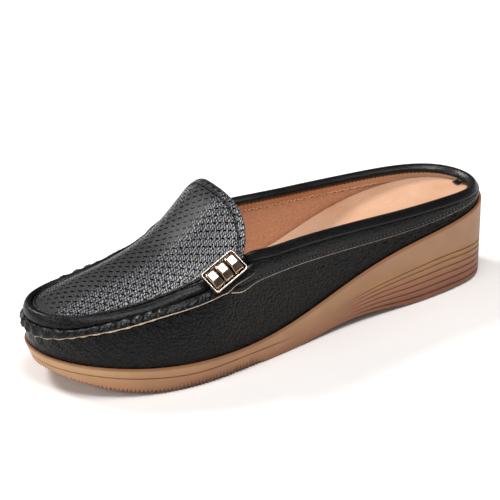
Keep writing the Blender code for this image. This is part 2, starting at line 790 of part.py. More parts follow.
# Apron band: the gathered strip round the toe, ending in a tab on each side
angles = round_the_front(TAB_END_SHARE)
top_level = level_below_rim(angles, SEAM_WALL_SIDE + GAP)
part = np.array([0.0, 0.14, 0.55, 1.0])
levels = 0.62 + (top_level - 0.62)[:, None] * part[None]
share = share_of(angles)
over_collar = 1.0 - smooth_step(COLLAR_BAND_END_SHARE + 0.002, COLLAR_BAND_END_SHARE + 0.022, share)
base = 1.3 * GAP + (COLLAR_BAND_THICKNESS + GAP) * over_collar
inner_face, normals = wall(angles[:, None], levels, base[:, None])
inner_face = refined(inner_face, 2)
normals = refined(normals, 2)
share = refined(share, 2)
travel = path_length(inner_face[:, 2])
wave = 0.5 - 0.5 * np.cos(TURN * (travel - 0.5 * travel[-1]) / GATHER_PITCH)
pucker = GATHER_RISE * wave * smooth_step(0.70, 0.90, share)
rise = BAND_THICKNESS * np.array([0.75, 1.0, 1.0, 0.8])
swell = np.array([0.1, 0.5, 1.0, 0.8])
offsets = rise[None] + pucker[:, None] * swell[None]
outer_face = inner_face + normals * offsets[..., None]
slab("apron_band", outer_face, inner_face, band_shade)

# Apron seam: the rolled bead along the edge of the crown
angles = round_the_front(SEAM_START_SHARE)
crest_span = np.linalg.norm(
    crown(angles, np.ones_like(angles))[0] - wall(angles, np.ones_like(angles))[0], axis=1)
far = SEAM_CROWN_SIDE / crest_span
near_level = level_below_rim(angles, 0.55 * SEAM_WALL_SIDE)
far_level = level_below_rim(angles, SEAM_WALL_SIDE)
faces = []
for height in (SEAM_HEIGHT, 0.4 * GAP):
    faces.append(np.stack([
        crown(angles, far, 1.4 * GAP + 0.35 * height)[0],
        crown(angles, 0.6 * far, 1.4 * GAP + 0.85 * height)[0],
        rim_corner(angles, GAP + height),
        wall(angles, near_level, GAP + 0.85 * height)[0],
        wall(angles, far_level, GAP + 0.35 * height)[0]], axis=1))
slab("apron_seam", faces[0], faces[1], upper_shade)


# Buckle: a polished frame with three domed blocks, sitting on the outer tab along the seam
gold_shade = material("polished_gold_plate", (0.86, 0.68, 0.42), 0.18, 1.0)
middle_angle = angle_of(BUCKLE_SHARE)
seat_point, wall_normal = wall(middle_angle, BUCKLE_LEVEL)
_, crown_normal = crown(middle_angle, 0.05)
up_axis = wall_normal + crown_normal
up_axis /= np.linalg.norm(up_axis)
behind, _ = wall(angle_of(BUCKLE_SHARE - 0.03), 1.0)
ahead, _ = wall(angle_of(BUCKLE_SHARE + 0.03), 1.0)
long_axis = behind - ahead
long_axis -= up_axis * (long_axis @ up_axis)
long_axis /= np.linalg.norm(long_axis)
side_axis = np.cross(long_axis, up_axis)
long_axis = long_axis * math.cos(BUCKLE_TILT) - side_axis * math.sin(BUCKLE_TILT)
side_axis = np.cross(long_axis, up_axis)
axes = np.array([long_axis, side_axis, up_axis])
below = np.concatenate([built[key] for key in built if key not in ("sole", "insole")]) - seat_point
local = below @ axes.T
under = (np.abs(local[:, 0]) < 0.56 * BUCKLE_LENGTH) & (np.abs(local[:, 1]) < 0.58 * BUCKLE_WIDTH)
seat_height = local[under, 2].max() + GAP


def on_buckle(points):
    """Moves points from the buckle's own axes onto the shoe."""
    return seat_point + (np.asarray(points) + [0.0, 0.0, seat_height]) @ axes


def frame_loop(inward, height):
    """Eight corner points of a rectangle; its corners are cut off less towards the inside."""
    half_length = 0.5 * BUCKLE_LENGTH - inward
    half_width = 0.5 * BUCKLE_WIDTH - inward
    cut = 0.09 * BUCKLE_WIDTH * (1.05 - inward / BUCKLE_RAIL)
    corners = []
    for along, across in ((1, 1), (-1, 1), (-1, -1), (1, -1)):
        near = (along * (half_length - cut), across * half_width, height)
        far = (along * half_length, across * (half_width - cut), height)
        corners.extend([far, near] if along * across > 0 else [near, far])
    return np.array(corners)


rail = BUCKLE_RAIL
section = (
    (0.0, 0.0),
    (0.0, 0.65 * BUCKLE_HEIGHT),
    (0.25 * rail, BUCKLE_HEIGHT),
    (0.75 * rail, BUCKLE_HEIGHT),
    (rail, 0.65 * BUCKLE_HEIGHT),
    (rail, 0.0))
frame = Mesh()
frame_rows = []
for inward, height in section:
    frame_rows.append(frame.add(on_buckle(frame_loop(inward, height))))
frame_rows.append(frame_rows[0])
for one, two in zip(frame_rows[:-1], frame_rows[1:]):
    frame.strip(np.append(one, one[0]), np.append(two, two[0]))
finish("buckle_frame", frame, gold_shade, anchor)

inner_length = BUCKLE_LENGTH - 2.0 * (rail + GAP)
inner_width = BUCKLE_WIDTH - 2.0 * (rail + GAP)
block_length = (inner_length - (BLOCK_COUNT - 1) * BLOCK_GAP) / BLOCK_COUNT
across = np.linspace(-1.0, 1.0, 7)
for index in range(BLOCK_COUNT):
    first = -0.5 * inner_length + index * (block_length + BLOCK_GAP)
    along = first + block_length * np.array([0.0, 0.1, 0.9, 1.0])
    lower = np.array([0.82, 1.0, 1.0, 0.82])
    dome = BLOCK_HEIGHT * (1.0 - 0.55 * across ** 2)
    top_face = np.zeros((4, 7, 3))
    top_face[..., 0] = along[:, None]
    top_face[..., 1] = across[None] * 0.5 * inner_width
    top_face[..., 2] = lower[:, None] * dome[None]
    low_face = top_face.copy()
    low_face[..., 2] = 0.0
    slab("buckle_block_%d" % (index + 1), on_buckle(top_face), on_buckle(low_face), gold_shade)

# The reference point is the middle of the resting face of the whole shoe's box
corners = np.concatenate(list(built.values()))
lowest = corners.min(axis=0)
highest = corners.max(axis=0)
middle = 0.5 * (lowest + highest)
anchor.location = (-middle[0], -middle[1], -lowest[2])
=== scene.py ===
"""Looks of a left wedge mule: gum sole, peach footbed, black moccasin upper and gold buckle.

Metres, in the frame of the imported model: +X to the toe, +Y to the outer side, +Z up.
"""

import math

import bmesh
import bpy
import numpy as np
from mathutils import Matrix, Vector


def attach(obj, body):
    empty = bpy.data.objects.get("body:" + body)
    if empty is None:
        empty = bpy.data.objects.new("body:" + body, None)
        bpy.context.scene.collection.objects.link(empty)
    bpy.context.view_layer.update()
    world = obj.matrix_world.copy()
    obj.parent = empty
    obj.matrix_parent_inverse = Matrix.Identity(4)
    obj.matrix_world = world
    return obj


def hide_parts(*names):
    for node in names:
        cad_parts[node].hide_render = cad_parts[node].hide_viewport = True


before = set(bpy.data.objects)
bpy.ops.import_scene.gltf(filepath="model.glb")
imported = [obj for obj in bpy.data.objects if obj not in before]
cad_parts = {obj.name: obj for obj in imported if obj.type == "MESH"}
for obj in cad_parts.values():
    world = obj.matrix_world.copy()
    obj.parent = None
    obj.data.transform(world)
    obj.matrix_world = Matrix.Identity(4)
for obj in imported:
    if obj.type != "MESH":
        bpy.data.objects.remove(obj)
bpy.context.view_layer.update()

# Sole
# One wedge moulded in tan gum rubber: a smooth upper band, fine ribs pressed round the heel, a
# parting groove and a toothed tread edge round the forefoot, and channels across the tread.
SOLE_LENGTH = 0.2506
OUTER_REACH = 0.0449
INNER_REACH = 0.0398
TOE_SWING = 0.0025
WEDGE_HEIGHT = 0.0412
SHANK_LIFT = 0.0033
TOE_SPRING = 0.0100
INSOLE_HEIGHT = 0.0436
INSOLE_THICKNESS = 0.0030
WALL = 0.0018
GAP = 0.0003
LIP_WIDTH = 0.0011
LEDGE_DEPTH = 0.0019
SOLE_TAPER = 0.0017
TOE_TAPER = 0.0016
GROOVE_DEPTH = 0.0008
RIB_DEPTH = 0.0006
RIB_END_SHARE = 0.41
TREAD_BEVEL = 0.0010
TREAD_PITCH = 0.0090
TREAD_WIDTH = 0.0026
TREAD_DEPTH = 0.0014
TREAD_RIM = 0.0055
TREAD_FLANK = 0.0004
TOOTH_PITCH = 0.0020
TOOTH_DEPTH = 0.0012
NOTCH_SHARE = 0.654
NOTCH_SIZE = 0.0009
TICK_SHARE = 0.621
TICK_WIDTH = 0.0006
TICK_DEPTH = 0.0005
ROUGH_PITCH = 0.0031
KNURL_ROWS = 4.0
FINE_FROM_SHARE = 0.54

# The outline's heel end in the frame, whose origin is under the middle of the solids' box
HEEL_AT = np.array([-0.126188, -0.002858])
TURN = 2.0 * math.pi

# Millimetres down the UV map at which the toothed rows, set apart by up to 110, begin to take painted shade
# in the gaps between the teeth
TOOTHED_FROM = 60.0

# Columns: share of length where a field of tread channels starts, share where it ends
TREAD_FIELDS = ((0.035, 0.165), (0.535, 0.900))

# Columns: share of length, outer reach share, inner reach share
OUTLINE = (
    (0.05, 0.465, 0.538), (0.12, 0.584, 0.683), (0.22, 0.648, 0.749), (0.34, 0.690, 0.761),
    (0.46, 0.782, 0.739), (0.58, 0.902, 0.824), (0.70, 1.000, 0.970), (0.80, 0.969, 1.000),
    (0.89, 0.791, 0.884), (0.95, 0.552, 0.673))

# Columns: share of length, sole edge height, insole height
FLOOR_LINES = (
    (0.00, 1.000, 0.983), (0.12, 0.900, 0.990), (0.25, 0.791, 0.894), (0.40, 0.549, 0.624),
    (0.55, 0.335, 0.420), (0.70, 0.306, 0.338), (0.85, 0.364, 0.386), (1.00, 0.466, 0.484))

# Columns: share of length, top rib height share of the wedge height
RIB_LINE = (
    (0.00, 0.425), (0.06, 0.458), (0.13, 0.488), (0.21, 0.463),
    (0.30, 0.400), (0.40, 0.308), (0.48, 0.262), (1.00, 0.262))

# Columns: share of length, forefoot groove height share of the wedge height
GROOVE_LINE = (
    (0.00, 0.185), (0.58, 0.185), (0.65, 0.197), (0.74, 0.189),
    (0.82, 0.223), (0.89, 0.267), (0.95, 0.311), (1.00, 0.337))

# Shares of the way from the tread to the top rib line at which the heel is grooved
RIB_GROOVES = (0.17, 0.35, 0.53, 0.71, 0.89, 1.04)


def spline(knots, values, where):
    """Natural cubic curve through the rows; values may have further axes behind the first."""
    knots = np.asarray(knots, float)
    values = np.asarray(values, float)
    where = np.asarray(where, float)
    count = len(knots)
    step = np.diff(knots)
    flat = values.reshape(count, -1)
    matrix = np.eye(count)
    right = np.zeros_like(flat)
    for row in range(1, count - 1):
        matrix[row, row - 1:row + 2] = step[row - 1], 2.0 * (step[row - 1] + step[row]), step[row]
        rise = (flat[row + 1] - flat[row]) / step[row]
        right[row] = 6.0 * (rise - (flat[row] - flat[row - 1]) / step[row - 1])
    bend = np.linalg.solve(matrix, right)
    cell = np.clip(np.searchsorted(knots, where.ravel(), side="right") - 1, 0, count - 2)
    size = step[cell][:, None]
    near = (where.ravel()[:, None] - knots[cell][:, None]) / size
    far = 1.0 - near
    curve = far * flat[cell] + near * flat[cell + 1]
    curve += ((far ** 3 - far) * bend[cell] + (near ** 3 - near) * bend[cell + 1]) * size ** 2 / 6.0
    return curve.reshape(where.shape + values.shape[1:])


def column(table, index, share):
    """One column of a table, read off smoothly at the shares asked for."""
    rows = np.array(table)
    return spline(rows[:, 0], rows[:, index], share)


def share_of(angle):
    """Share of the length at a ring angle: half of one minus its cosine."""
    return 0.5 * (1.0 - np.cos(angle))


def angle_of(share):
    """Ring angle on the outer side at a share of the length."""
    return np.arccos(1.0 - 2.0 * np.asarray(share, float))


def smooth_step(low, high, value):
    """Rises from 0 to 1 between two values with level ends."""
    part = np.clip((value - low) / (high - low), 0.0, 1.0)
    return part * part * (3.0 - 2.0 * part)


def outline_rows():
    """Ring angles and sideways reach all round, with a few rows repeated past each end."""
    rows = np.array(OUTLINE)
    angles = angle_of(rows[:, 0])
    angle = np.concatenate([[0.0], angles, [math.pi], TURN - angles[::-1]])
    inner = -rows[::-1, 2] * INNER_REACH
    reach = np.concatenate([[0.0], rows[:, 1] * OUTER_REACH, [-TOE_SWING], inner])
    angle = np.concatenate([angle[-5:] - TURN, angle, angle[:5] + TURN])
    return angle, np.concatenate([reach[-5:], reach, reach[:5]])


RING_ANGLES, RING_REACH = outline_rows()


def both_sides(half):
    """Ring angles from heel to toe and back along the other side."""
    return np.concatenate([half, TURN - half[-2::-1]])


def zigzag(value):
    """Falls from 1 to 0 and rises back to 1 between whole numbers."""
    return np.abs(np.mod(value, 1.0) * 2.0 - 1.0)


def ring(angle, inset):
    """Plan position on the outline moved inward by the inset, and the outward direction."""
    angle = np.mod(angle, TURN)
    tiny = 1e-4
    reach, after, before = (spline(RING_ANGLES, RING_REACH, angle + shift) for shift in (0.0, tiny, -tiny))
    aside = (after - before) / (2.0 * tiny)
    along = SOLE_LENGTH * 0.5 * np.sin(angle)
    size = np.hypot(along, aside)
    out = np.stack([-aside / size, along / size], axis=-1)
    place = np.stack([SOLE_LENGTH * share_of(angle), reach], axis=-1) + HEEL_AT
    return place - out * np.asarray(inset, float)[..., None], out


def ring_row(angles, inset, height):
    """Points round the outline, moved inward by the inset and set at the height."""
    return np.column_stack([ring(angles, inset)[0], np.broadcast_to(height, angles.shape)])


def ruled(left, right, part):
    """Straight rows of points from each left point to its right one, at the shares given."""
    return left[:, None] * (1.0 - part[..., None]) + right[:, None] * part[..., None]


def feather_height(share):
    """Height of the sole's top edge."""
    return column(FLOOR_LINES, 1, share) * WEDGE_HEIGHT


def insole_height(share):
    """Height of the insole's upper face."""
    return column(FLOOR_LINES, 2, share) * INSOLE_HEIGHT


def ground_height(share):
    """Height of the tread: flat under heel and ball, lifted at the shank and the toe."""
    toe = TOE_SPRING * np.clip((share - 0.76) / 0.24, 0.0, 1.0) ** 1.9
    return toe + SHANK_LIFT * np.sin(math.pi * np.clip((share - 0.18) / 0.35, 0.0, 1.0)) ** 2


def travel_of(points):
    """Distance along each row of points from its start, over the second axis from the last."""
    steps = np.linalg.norm(np.diff(points, axis=-2), axis=-1)
    return np.concatenate([0.0 * steps[..., :1], np.cumsum(steps, axis=-1)], axis=-1)


class Skin:
    """Collects grids of points, with a UV in millimetres, and joins them into one closed mesh."""

    def __init__(self):
        self.points = []
        self.quads = []
        self.maps = []
        self.slots = []
        self.total = 0

    def grid(self, points, slot=0, across=0.0, along=0.0):
        """Quads between neighbours of a grid: rows by columns by xyz, with its two UV arrays."""
        shape = points.shape[:2]
        ids = self.total + np.arange(shape[0] * shape[1]).reshape(shape)
        self.total += ids.size
        quads = np.stack([ids[:-1, :-1], ids[1:, :-1], ids[1:, 1:], ids[:-1, 1:]], axis=-1)
        self.points.append(points.reshape(-1, 3))
        self.quads.append(quads.reshape(-1, 4))
        self.slots.append(np.full(len(self.quads[-1]), slot))
        edge = np.stack([np.broadcast_to(along, shape), np.broadcast_to(across, shape)], axis=-1)
        self.maps.append(1000.0 * edge.reshape(-1, 2))

    def piece(self, name, materials, merge=2e-6, sharp=40.0):
        """Makes the object: doubles merged, faces turned outward, smooth but for sharp edges."""
        quads = np.concatenate(self.quads)
        data = bpy.data.meshes.new(name)
        data.vertices.add(self.total)
        data.vertices.foreach_set("co", np.concatenate(self.points).ravel())
        data.loops.add(quads.size)
        data.loops.foreach_set("vertex_index", quads.ravel())
        data.polygons.add(len(quads))
        data.polygons.foreach_set("loop_start", 4 * np.arange(len(quads)))
        data.polygons.foreach_set("material_index", np.concatenate(self.slots))
        layer = data.uv_layers.new(name="surface")
        layer.data.foreach_set("uv", np.concatenate(self.maps)[quads.ravel()].ravel())
        data.update(calc_edges=True)
        work = bmesh.new()
        work.from_mesh(data)
        bmesh.ops.remove_doubles(work, verts=work.verts, dist=merge)
        bmesh.ops.recalc_face_normals(work, faces=work.faces)
        if work.calc_volume(signed=True) < 0.0:
            bmesh.ops.reverse_faces(work, faces=work.faces)
        work.to_mesh(data)
        work.free()
        data.shade_smooth()
        data.set_sharp_from_angle(angle=math.radians(sharp))
        for shade in materials:
            data.materials.append(shade)
        thing = bpy.data.objects.new(name, data)
        bpy.context.scene.collection.objects.link(thing)
        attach(thing, "root")
        return thing


def linear(code):
    """A colour for the shader from an sRGB hex code."""
    parts = np.array([int(code[place:place + 2], 16) for place in (1, 3, 5)]) / 255.0
    parts = np.where(parts <= 0.04045, parts / 12.92, ((parts + 0.055) / 1.055) ** 2.4)
    return (*parts.tolist(), 1.0)


def fill(node, *values, **named):
    """Fills a node's live inputs, in order or by name: a hex code is a colour, a node its first output."""
    live = [socket for socket in node.inputs if socket.enabled]
    names = {socket.name.replace(" ", "_"): socket for socket in live}
    for socket, value in [*zip(live, values), *((names[key], value) for key, value in named.items())]:
        if isinstance(value, bpy.types.Node):
            value = next(output for output in value.outputs if output.enabled)
        if isinstance(value, bpy.types.NodeSocket):
            node.id_data.links.new(value, socket)
        else:
            socket.default_value = linear(value) if isinstance(value, str) else value


def add(shade, kind, *values, stops=(), **named):
    """Adds a node: lower-case words are its settings, the rest fills it, and stops make up its ramp."""
    new = shade.node_tree.nodes.new("ShaderNode" + kind)
    for key in [key for key in named if key.islower()]:
        setattr(new, key, named.pop(key))
    if stops:
        new.color_ramp.interpolation = "EASE"
        for _ in stops[2:]:
            new.color_ramp.elements.new(0.5)
        for element, (place, colour) in zip(new.color_ramp.elements, stops):
            element.position = place
            element.color = linear(colour) if isinstance(colour, str) else (colour, colour, colour, 1.0)
    fill(new, *values, **named)
    return new


def surface(name, roughness, metallic=0.0, coat=0.0, coat_roughness=0.3, sheen=0.0, level=0.5):
    """A new material with its shader's own sockets set; returns it and the shader node."""
    shade = bpy.data.materials.new(name)
    shade.use_nodes = True
    shader = shade.node_tree.nodes["Principled BSDF"]
    fill(shader, Roughness=roughness, Metallic=metallic, Coat_Weight=coat, Coat_Roughness=coat_roughness,
         Sheen_Weight=sheen, Specular_IOR_Level=level)
    return shade, shader


def place_of(shade):
    """Object coordinates in millimetres."""
    return add(shade, "VectorMath", add(shade, "TexCoord").outputs["Object"], 1000.0, operation="SCALE")


def gum_rubber():
    """Gum rubber: a warm tan with a satin mould skin, darker at the heel's foot, with painted shade in the
    grooves, in the gaps between the teeth and along the lip that meets the upper."""
    shade, shader = surface("moulded_gum_rubber", 0.52, level=0.45)
    point = place_of(shade)
    ahead, _, up = add(shade, "SeparateXYZ", point).outputs
    side = add(shade, "ValToRGB", add(shade, "MapRange", up, 2.0, 26.0),
               stops=((0.0, "#7E4E36"), (0.35, "#96644A"), (0.7, "#A37750"), (1.0, "#A77E5E")))
    flat = add(shade, "ValToRGB", add(shade, "MapRange", up, 0.0, 16.0),
               stops=((0.0, "#875A3E"), (0.4, "#A67753"), (0.62, "#AA7E59"), (1.0, "#B28C64")))
    front = add(shade, "MapRange", ahead, -45.0, 10.0)
    body = add(shade, "Mix", front, side, flat, data_type="RGBA")
    cloud = add(shade, "TexNoise", point, Scale=0.06, Detail=3.0)
    tone = add(shade, "MapRange", cloud, 0.3, 0.7, 0.9, 1.07)
    # Painted shade: the colour darkens where the surface is concave, in grooves and recesses
    hollow_shade = add(shade, "MapRange", add(shade, "NewGeometry").outputs["Pointiness"], 0.44, 0.5, 0.72)
    travel, below, _ = add(shade, "SeparateXYZ", add(shade, "UVMap", uv_map="surface")).outputs
    # Painted shade in the gaps between the teeth on the toothed rows, multiplied into the random mottle
    between = add(shade, "Math", travel, 500.0 * TOOTH_PITCH, operation="PINGPONG")
    gap = add(shade, "MapRange", between, 0.0, 0.6, 0.45, 1.0)
    toothed = add(shade, "MapRange", below, TOOTHED_FROM, TOOTHED_FROM + 45.0)
    teeth = add(shade, "Mix", toothed, 1.0, gap)
    mottle_and_gap_shade = add(shade, "Math", tone, teeth, operation="MULTIPLY")
    shaded = add(shade, "Math", mottle_and_gap_shade, hollow_shade, operation="MULTIPLY")
    warm = add(shade, "Mix", 1.0, body, shaded, data_type="RGBA", blend_type="MULTIPLY")
    # Painted shade: a darker orange along the lip's top, where the upper shades it
    seam = add(shade, "ValToRGB", add(shade, "MapRange", below, -0.2, 1.7),
               stops=((0.0, 1.0), (0.45, 0.7), (1.0, 0.0)))
    skin = add(shade, "TexNoise", point, Scale=1.6, Detail=4.0)
    fill(shader, Base_Color=add(shade, "Mix", seam, warm, "#80502F", data_type="RGBA"),
         Normal=add(shade, "Bump", Height=skin, Strength=0.25, Distance=0.00012))
    return shade


def side_rows(share):
    """Rows up the sole's side: how far in and how high each one is, and the heel and toe grooves."""
    dip = np.array([0.0, 0.75, 1.0, 0.75, 0.0])
    spread = np.array([-1.0, -0.5, 0.0, 0.5, 1.0])
    heel = [0.0, 0.04]
    for middle, after in zip(RIB_GROOVES, RIB_GROOVES[1:] + (1.14,)):
        heel.extend(middle + 0.030 * spread)
        heel.append(0.5 * (middle + after))
    rises = np.linspace(1.16, 1.96, 11)
    heel = np.concatenate([heel, rises])
    cut = np.concatenate([[0.0, 0.0], np.tile(np.append(dip, 0.0), len(RIB_GROOVES)), np.zeros(11)])
    below = len(heel) // 2
    above = len(heel) - below - 5
    toe = np.concatenate([
        np.linspace(0.0, 1.0, below, endpoint=False) ** 1.25 * 0.93,
        1.0 + 0.055 * spread,
        1.0 + 0.96 * np.linspace(0.12, 1.0, above)])
    toe_cut = np.concatenate([np.zeros(below), dip, np.zeros(above)])
    ground = ground_height(share)[:, None]
    edge = feather_height(share)[:, None]
    rib = column(RIB_LINE, 1, share)[:, None] * WEDGE_HEIGHT
    groove = column(GROOVE_LINE, 1, share)[:, None] * WEDGE_HEIGHT
    front = smooth_step(0.42, 0.58, share)[:, None]
    heights = []
    for line, parts in ((rib, heel), (groove, toe)):
        low = np.clip(parts, 0.0, 1.0)[None]
        high = np.clip(parts - 1.0, 0.0, 1.0)[None]
        heights.append(ground + (line - ground) * low + (edge - line) * high)
    height = heights[0] * (1.0 - front) + heights[1] * front
    part = 1.0 - (height - ground) / (edge - ground)
    taper = SOLE_TAPER + TOE_TAPER * smooth_step(0.86, 1.0, share)[:, None]
    rib_fade = (1.0 - smooth_step(RIB_END_SHARE - 0.12, RIB_END_SHARE, share))[:, None] * (1.0 - front)
    toe_fade = smooth_step(0.50, 0.60, share)[:, None]
    depth = RIB_DEPTH * cut[None] * rib_fade + GROOVE_DEPTH * toe_cut[None] * toe_fade
    low_toe = np.clip(1.0 - toe / 0.8, 0.0, 1.0)[None] * smooth_step(0.56, 0.60, share)[:, None]
    low_heel = np.clip(1.0 - heel / 0.14, 0.0, 1.0)[None] * (1.0 - smooth_step(0.10, 0.14, share))[:, None]
    return taper * part + depth, height, low_toe, low_heel


def make_sole():
    """The side rows carried round the outline, cut in by a zigzag of teeth, a knurl over the ball, a notch
    and a tick; then lip, ledge and seat, and a tread whose channels are a wave with flat steps."""
    half = np.concatenate([
        angle_of(np.linspace(0.0, 1.0, 60) ** 2 * FINE_FROM_SHARE)[:-1],
        np.linspace(angle_of(FINE_FROM_SHARE), math.pi, 460)])
    count = len(half)
    angles = both_sides(half)
    share = share_of(angles)
    inset, height, low_toe, low_heel = side_rows(share)
    travel = travel_of(ring_row(angles, 0.0, 0.0))
    from_toe = (travel - travel[count - 1])[:, None]
    saw = zigzag(from_toe / TOOTH_PITCH)
    stagger = zigzag(from_toe / TOOTH_PITCH + 0.5 * np.round(low_toe * KNURL_ROWS))
    knurl = stagger * np.clip(low_toe, 0.0, 1.0) * np.abs(np.sin(math.pi * low_toe * KNURL_ROWS))
    ball = smooth_step(0.58, 0.62, share)[:, None] * (1.0 - smooth_step(0.74, 0.82, share))[:, None]
    teeth = TOOTH_DEPTH * saw * smooth_step(0.55, 0.95, low_toe)
    inset = inset + teeth + TOOTH_DEPTH * knurl * ball
    for middle, width, depth, low, high in (
            (NOTCH_SHARE, NOTCH_SIZE, NOTCH_SIZE, 0.3, 0.5), (TICK_SHARE, TICK_WIDTH, TICK_DEPTH, 0.0, 0.2)):
        from_middle = ((share - middle) * SOLE_LENGTH / width)[:, None]
        inset = inset + depth * np.exp(-from_middle ** 2) * smooth_step(low, high, low_toe)
    height = height + TOOTH_DEPTH * saw * smooth_step(0.80, 1.0, low_toe)
    rough = zigzag(travel / ROUGH_PITCH) * smooth_step(0.0, 0.004, share)
    inset = inset + 0.5 * TOOTH_DEPTH * rough[:, None] * low_heel
    edge = feather_height(share)
    ground = ground_height(share)
    height[:, 0] += 0.6 * TREAD_BEVEL
    ledge = LIP_WIDTH + 1.5 * GAP + WALL + 1.5 * GAP
    seat = insole_height(share) - INSOLE_THICKNESS - 1.6 * GAP
    rows = [ring_row(angles, *row) for row in zip(inset.T, height.T)]
    rows += [ring_row(angles, *row) for row in (
        (0.10 * LIP_WIDTH, edge - 0.00022), (0.35 * LIP_WIDTH, edge - 0.00004), (0.6 * LIP_WIDTH, edge),
        (LIP_WIDTH, edge), (LIP_WIDTH, edge - LEDGE_DEPTH), (ledge, edge - LEDGE_DEPTH),
        (ledge + 0.0004, seat))]
    side = np.stack(rows, axis=1)
    skin = Skin()
    below = edge[:, None] - side[..., 2]
    below[:, -6:] = 0.0
    # Rows low on the toothed edge, more over the ball, move up to 110 mm down the UV map, where the rubber
    # takes painted shade between the teeth
    below[:, :low_toe.shape[1]] += 0.1 * np.clip(low_toe * (1.0 + 0.8 * ball), 0.0, 1.1)
    skin.grid(side, 0, below, from_toe)
    steps = np.array([0.0, 0.0012, 0.0030, TREAD_RIM - 0.0002, TREAD_RIM + 0.0002])
    rim_inset = SOLE_TAPER + TREAD_BEVEL + TOE_TAPER * smooth_step(0.86, 1.0, share) + 0.8 * teeth[:, 0]
    rim = ring_row(angles, rim_inset, ground)
    left, right = rim[:count, :2], rim[::-1, :2][:count]
    width = np.linalg.norm(left - right, axis=1)[:, None]
    part = np.minimum(steps / np.maximum(width, 1e-6), 0.49 * steps / steps[-1])
    core = part[:, -1:] + (1.0 - 2.0 * part[:, -1:]) * np.linspace(0.0, 1.0, 9)
    part = np.concatenate([part[:, :-1], core, 1.0 - part[:, -2::-1]], axis=1)
    floor = ruled(left, right, part)
    from_heel = floor[..., 0] - HEEL_AT[0]
    channel = np.zeros_like(from_heel)
    for start, end in TREAD_FIELDS:
        inside = (from_heel > start * SOLE_LENGTH) & (from_heel < end * SOLE_LENGTH)
        phase = np.mod(from_heel - start * SOLE_LENGTH, TREAD_PITCH)
        shut = smooth_step(TREAD_WIDTH - TREAD_FLANK, TREAD_WIDTH, phase)
        channel = np.where(inside, smooth_step(0.0, TREAD_FLANK, phase) * (1.0 - shut), channel)
    channel = channel * (np.minimum(part, 1.0 - part) * width > TREAD_RIM - 0.0001)
    level = ground[:count, None] + TREAD_DEPTH * channel
    skin.grid(np.concatenate([floor, level[..., None]], axis=-1), 0, 0.01)
    skin.grid(np.stack([rim, side[:, 0]], axis=1), 0, below[:, :1], from_toe)
    skin.grid(ruled(side[:count, -1], side[::-1, -1][:count], np.linspace(0.0, 1.0, 5)[None]))
    sole = skin.piece("gum_sole", [gum_rubber()], sharp=50.0)
    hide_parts("sole")


make_sole()

# Insole
# A padded footbed: peach pigskin-like leather pulled over thin foam, its edge rolled down and its
# heel a little dished; it is glued to the sole's seat inside the upper.
COLLAR_HEIGHT = 0.0574
CREST_HEIGHT = 0.0810
EDGE_INSET = 0.0088
RIM_INSET = 0.0176
CREST_SETBACK = 0.0280
BINDING_THICKNESS = 0.0011
BINDING_OUTSIDE = 0.0030
BINDING_INSIDE = 0.0022
THROAT_SHARE = 0.618
BINDING_END_SHARE = 0.613
FOOTBED_DISH = 0.0008
PROFILE_KNOTS = np.array([0.0, 0.30, 0.62, 0.82, 1.0])

# Columns: share of length, outer inset share, inner inset share, outer height share, inner height share
EDGE_LINE = (
    (0.00, 0.250, 0.250, 0.756, 0.756), (0.12, 0.250, 0.250, 0.732, 0.732),
    (0.25, 0.250, 0.250, 0.716, 0.716), (0.40, 0.261, 0.261, 0.739, 0.739),
    (0.50, 0.273, 0.273, 0.765, 0.765), (0.56, 0.273, 0.273, 0.768, 0.768),
    (0.618, 0.273, 0.273, 0.770, 0.770), (0.66, 0.318, 0.409, 0.762, 0.755),
    (0.70, 0.398, 0.705, 0.730, 0.705), (0.74, 0.455, 0.909, 0.706, 0.660),
    (0.82, 0.477, 1.000, 0.666, 0.608), (0.89, 0.386, 0.773, 0.610, 0.580),
    (0.95, 0.227, 0.386, 0.562, 0.545), (1.00, 0.091, 0.091, 0.488, 0.488))

# The same columns for the rim
RIM_LINE = (
    (0.00, 0.227, 0.227, 0.844, 0.844), (0.12, 0.227, 0.227, 0.886, 0.886),
    (0.25, 0.227, 0.227, 0.910, 0.910), (0.40, 0.239, 0.239, 0.953, 0.953),
    (0.50, 0.261, 0.261, 0.983, 0.983), (0.56, 0.284, 0.284, 0.998, 0.998),
    (0.618, 0.330, 0.307, 0.998, 0.998), (0.66, 0.511, 0.580, 0.876, 0.876),
    (0.74, 0.625, 0.943, 0.790, 0.766), (0.82, 0.693, 1.000, 0.722, 0.716),
    (0.89, 0.602, 0.835, 0.684, 0.684), (0.95, 0.375, 0.477, 0.662, 0.662),
    (1.00, 0.125, 0.125, 0.655, 0.655))


def side_column(table, index, share, outer):
    """A column read off on the outer side, and the next one on the inner side."""
    return np.where(outer, column(table, index, share), column(table, index + 1, share))


def profile_points(angle):
    """Insets and heights of the wall's foot, belly, edge line, knuckle and rim at each angle."""
    share = share_of(angle)
    outer = np.sin(angle) >= 0.0
    foot = feather_height(share) - LEDGE_DEPTH + GAP
    edge_in = side_column(EDGE_LINE, 1, share, outer) * EDGE_INSET
    edge = side_column(EDGE_LINE, 3, share, outer) * COLLAR_HEIGHT
    rim_in = side_column(RIM_LINE, 1, share, outer) * RIM_INSET
    rim = side_column(RIM_LINE, 3, share, outer) * COLLAR_HEIGHT
    rim = rim - (BINDING_THICKNESS + GAP) * (1.0 - smooth_step(0.585, 0.64, share))
    foot_in = np.full_like(share, LIP_WIDTH + 1.5 * GAP)
    belly_in = foot_in + 0.15 * (edge_in - foot_in) - 0.0006 * smooth_step(0.62, 0.80, share)
    belly = foot + 0.46 * (edge - foot)
    knuckle_in = 0.5 * (edge_in + rim_in) - 0.09 * (rim - edge)
    knuckle = 0.5 * (edge + rim) + 0.09 * (rim_in - edge_in)
    return np.array([[foot_in, belly_in, edge_in, knuckle_in, rim_in], [foot, belly, edge, knuckle, rim]])


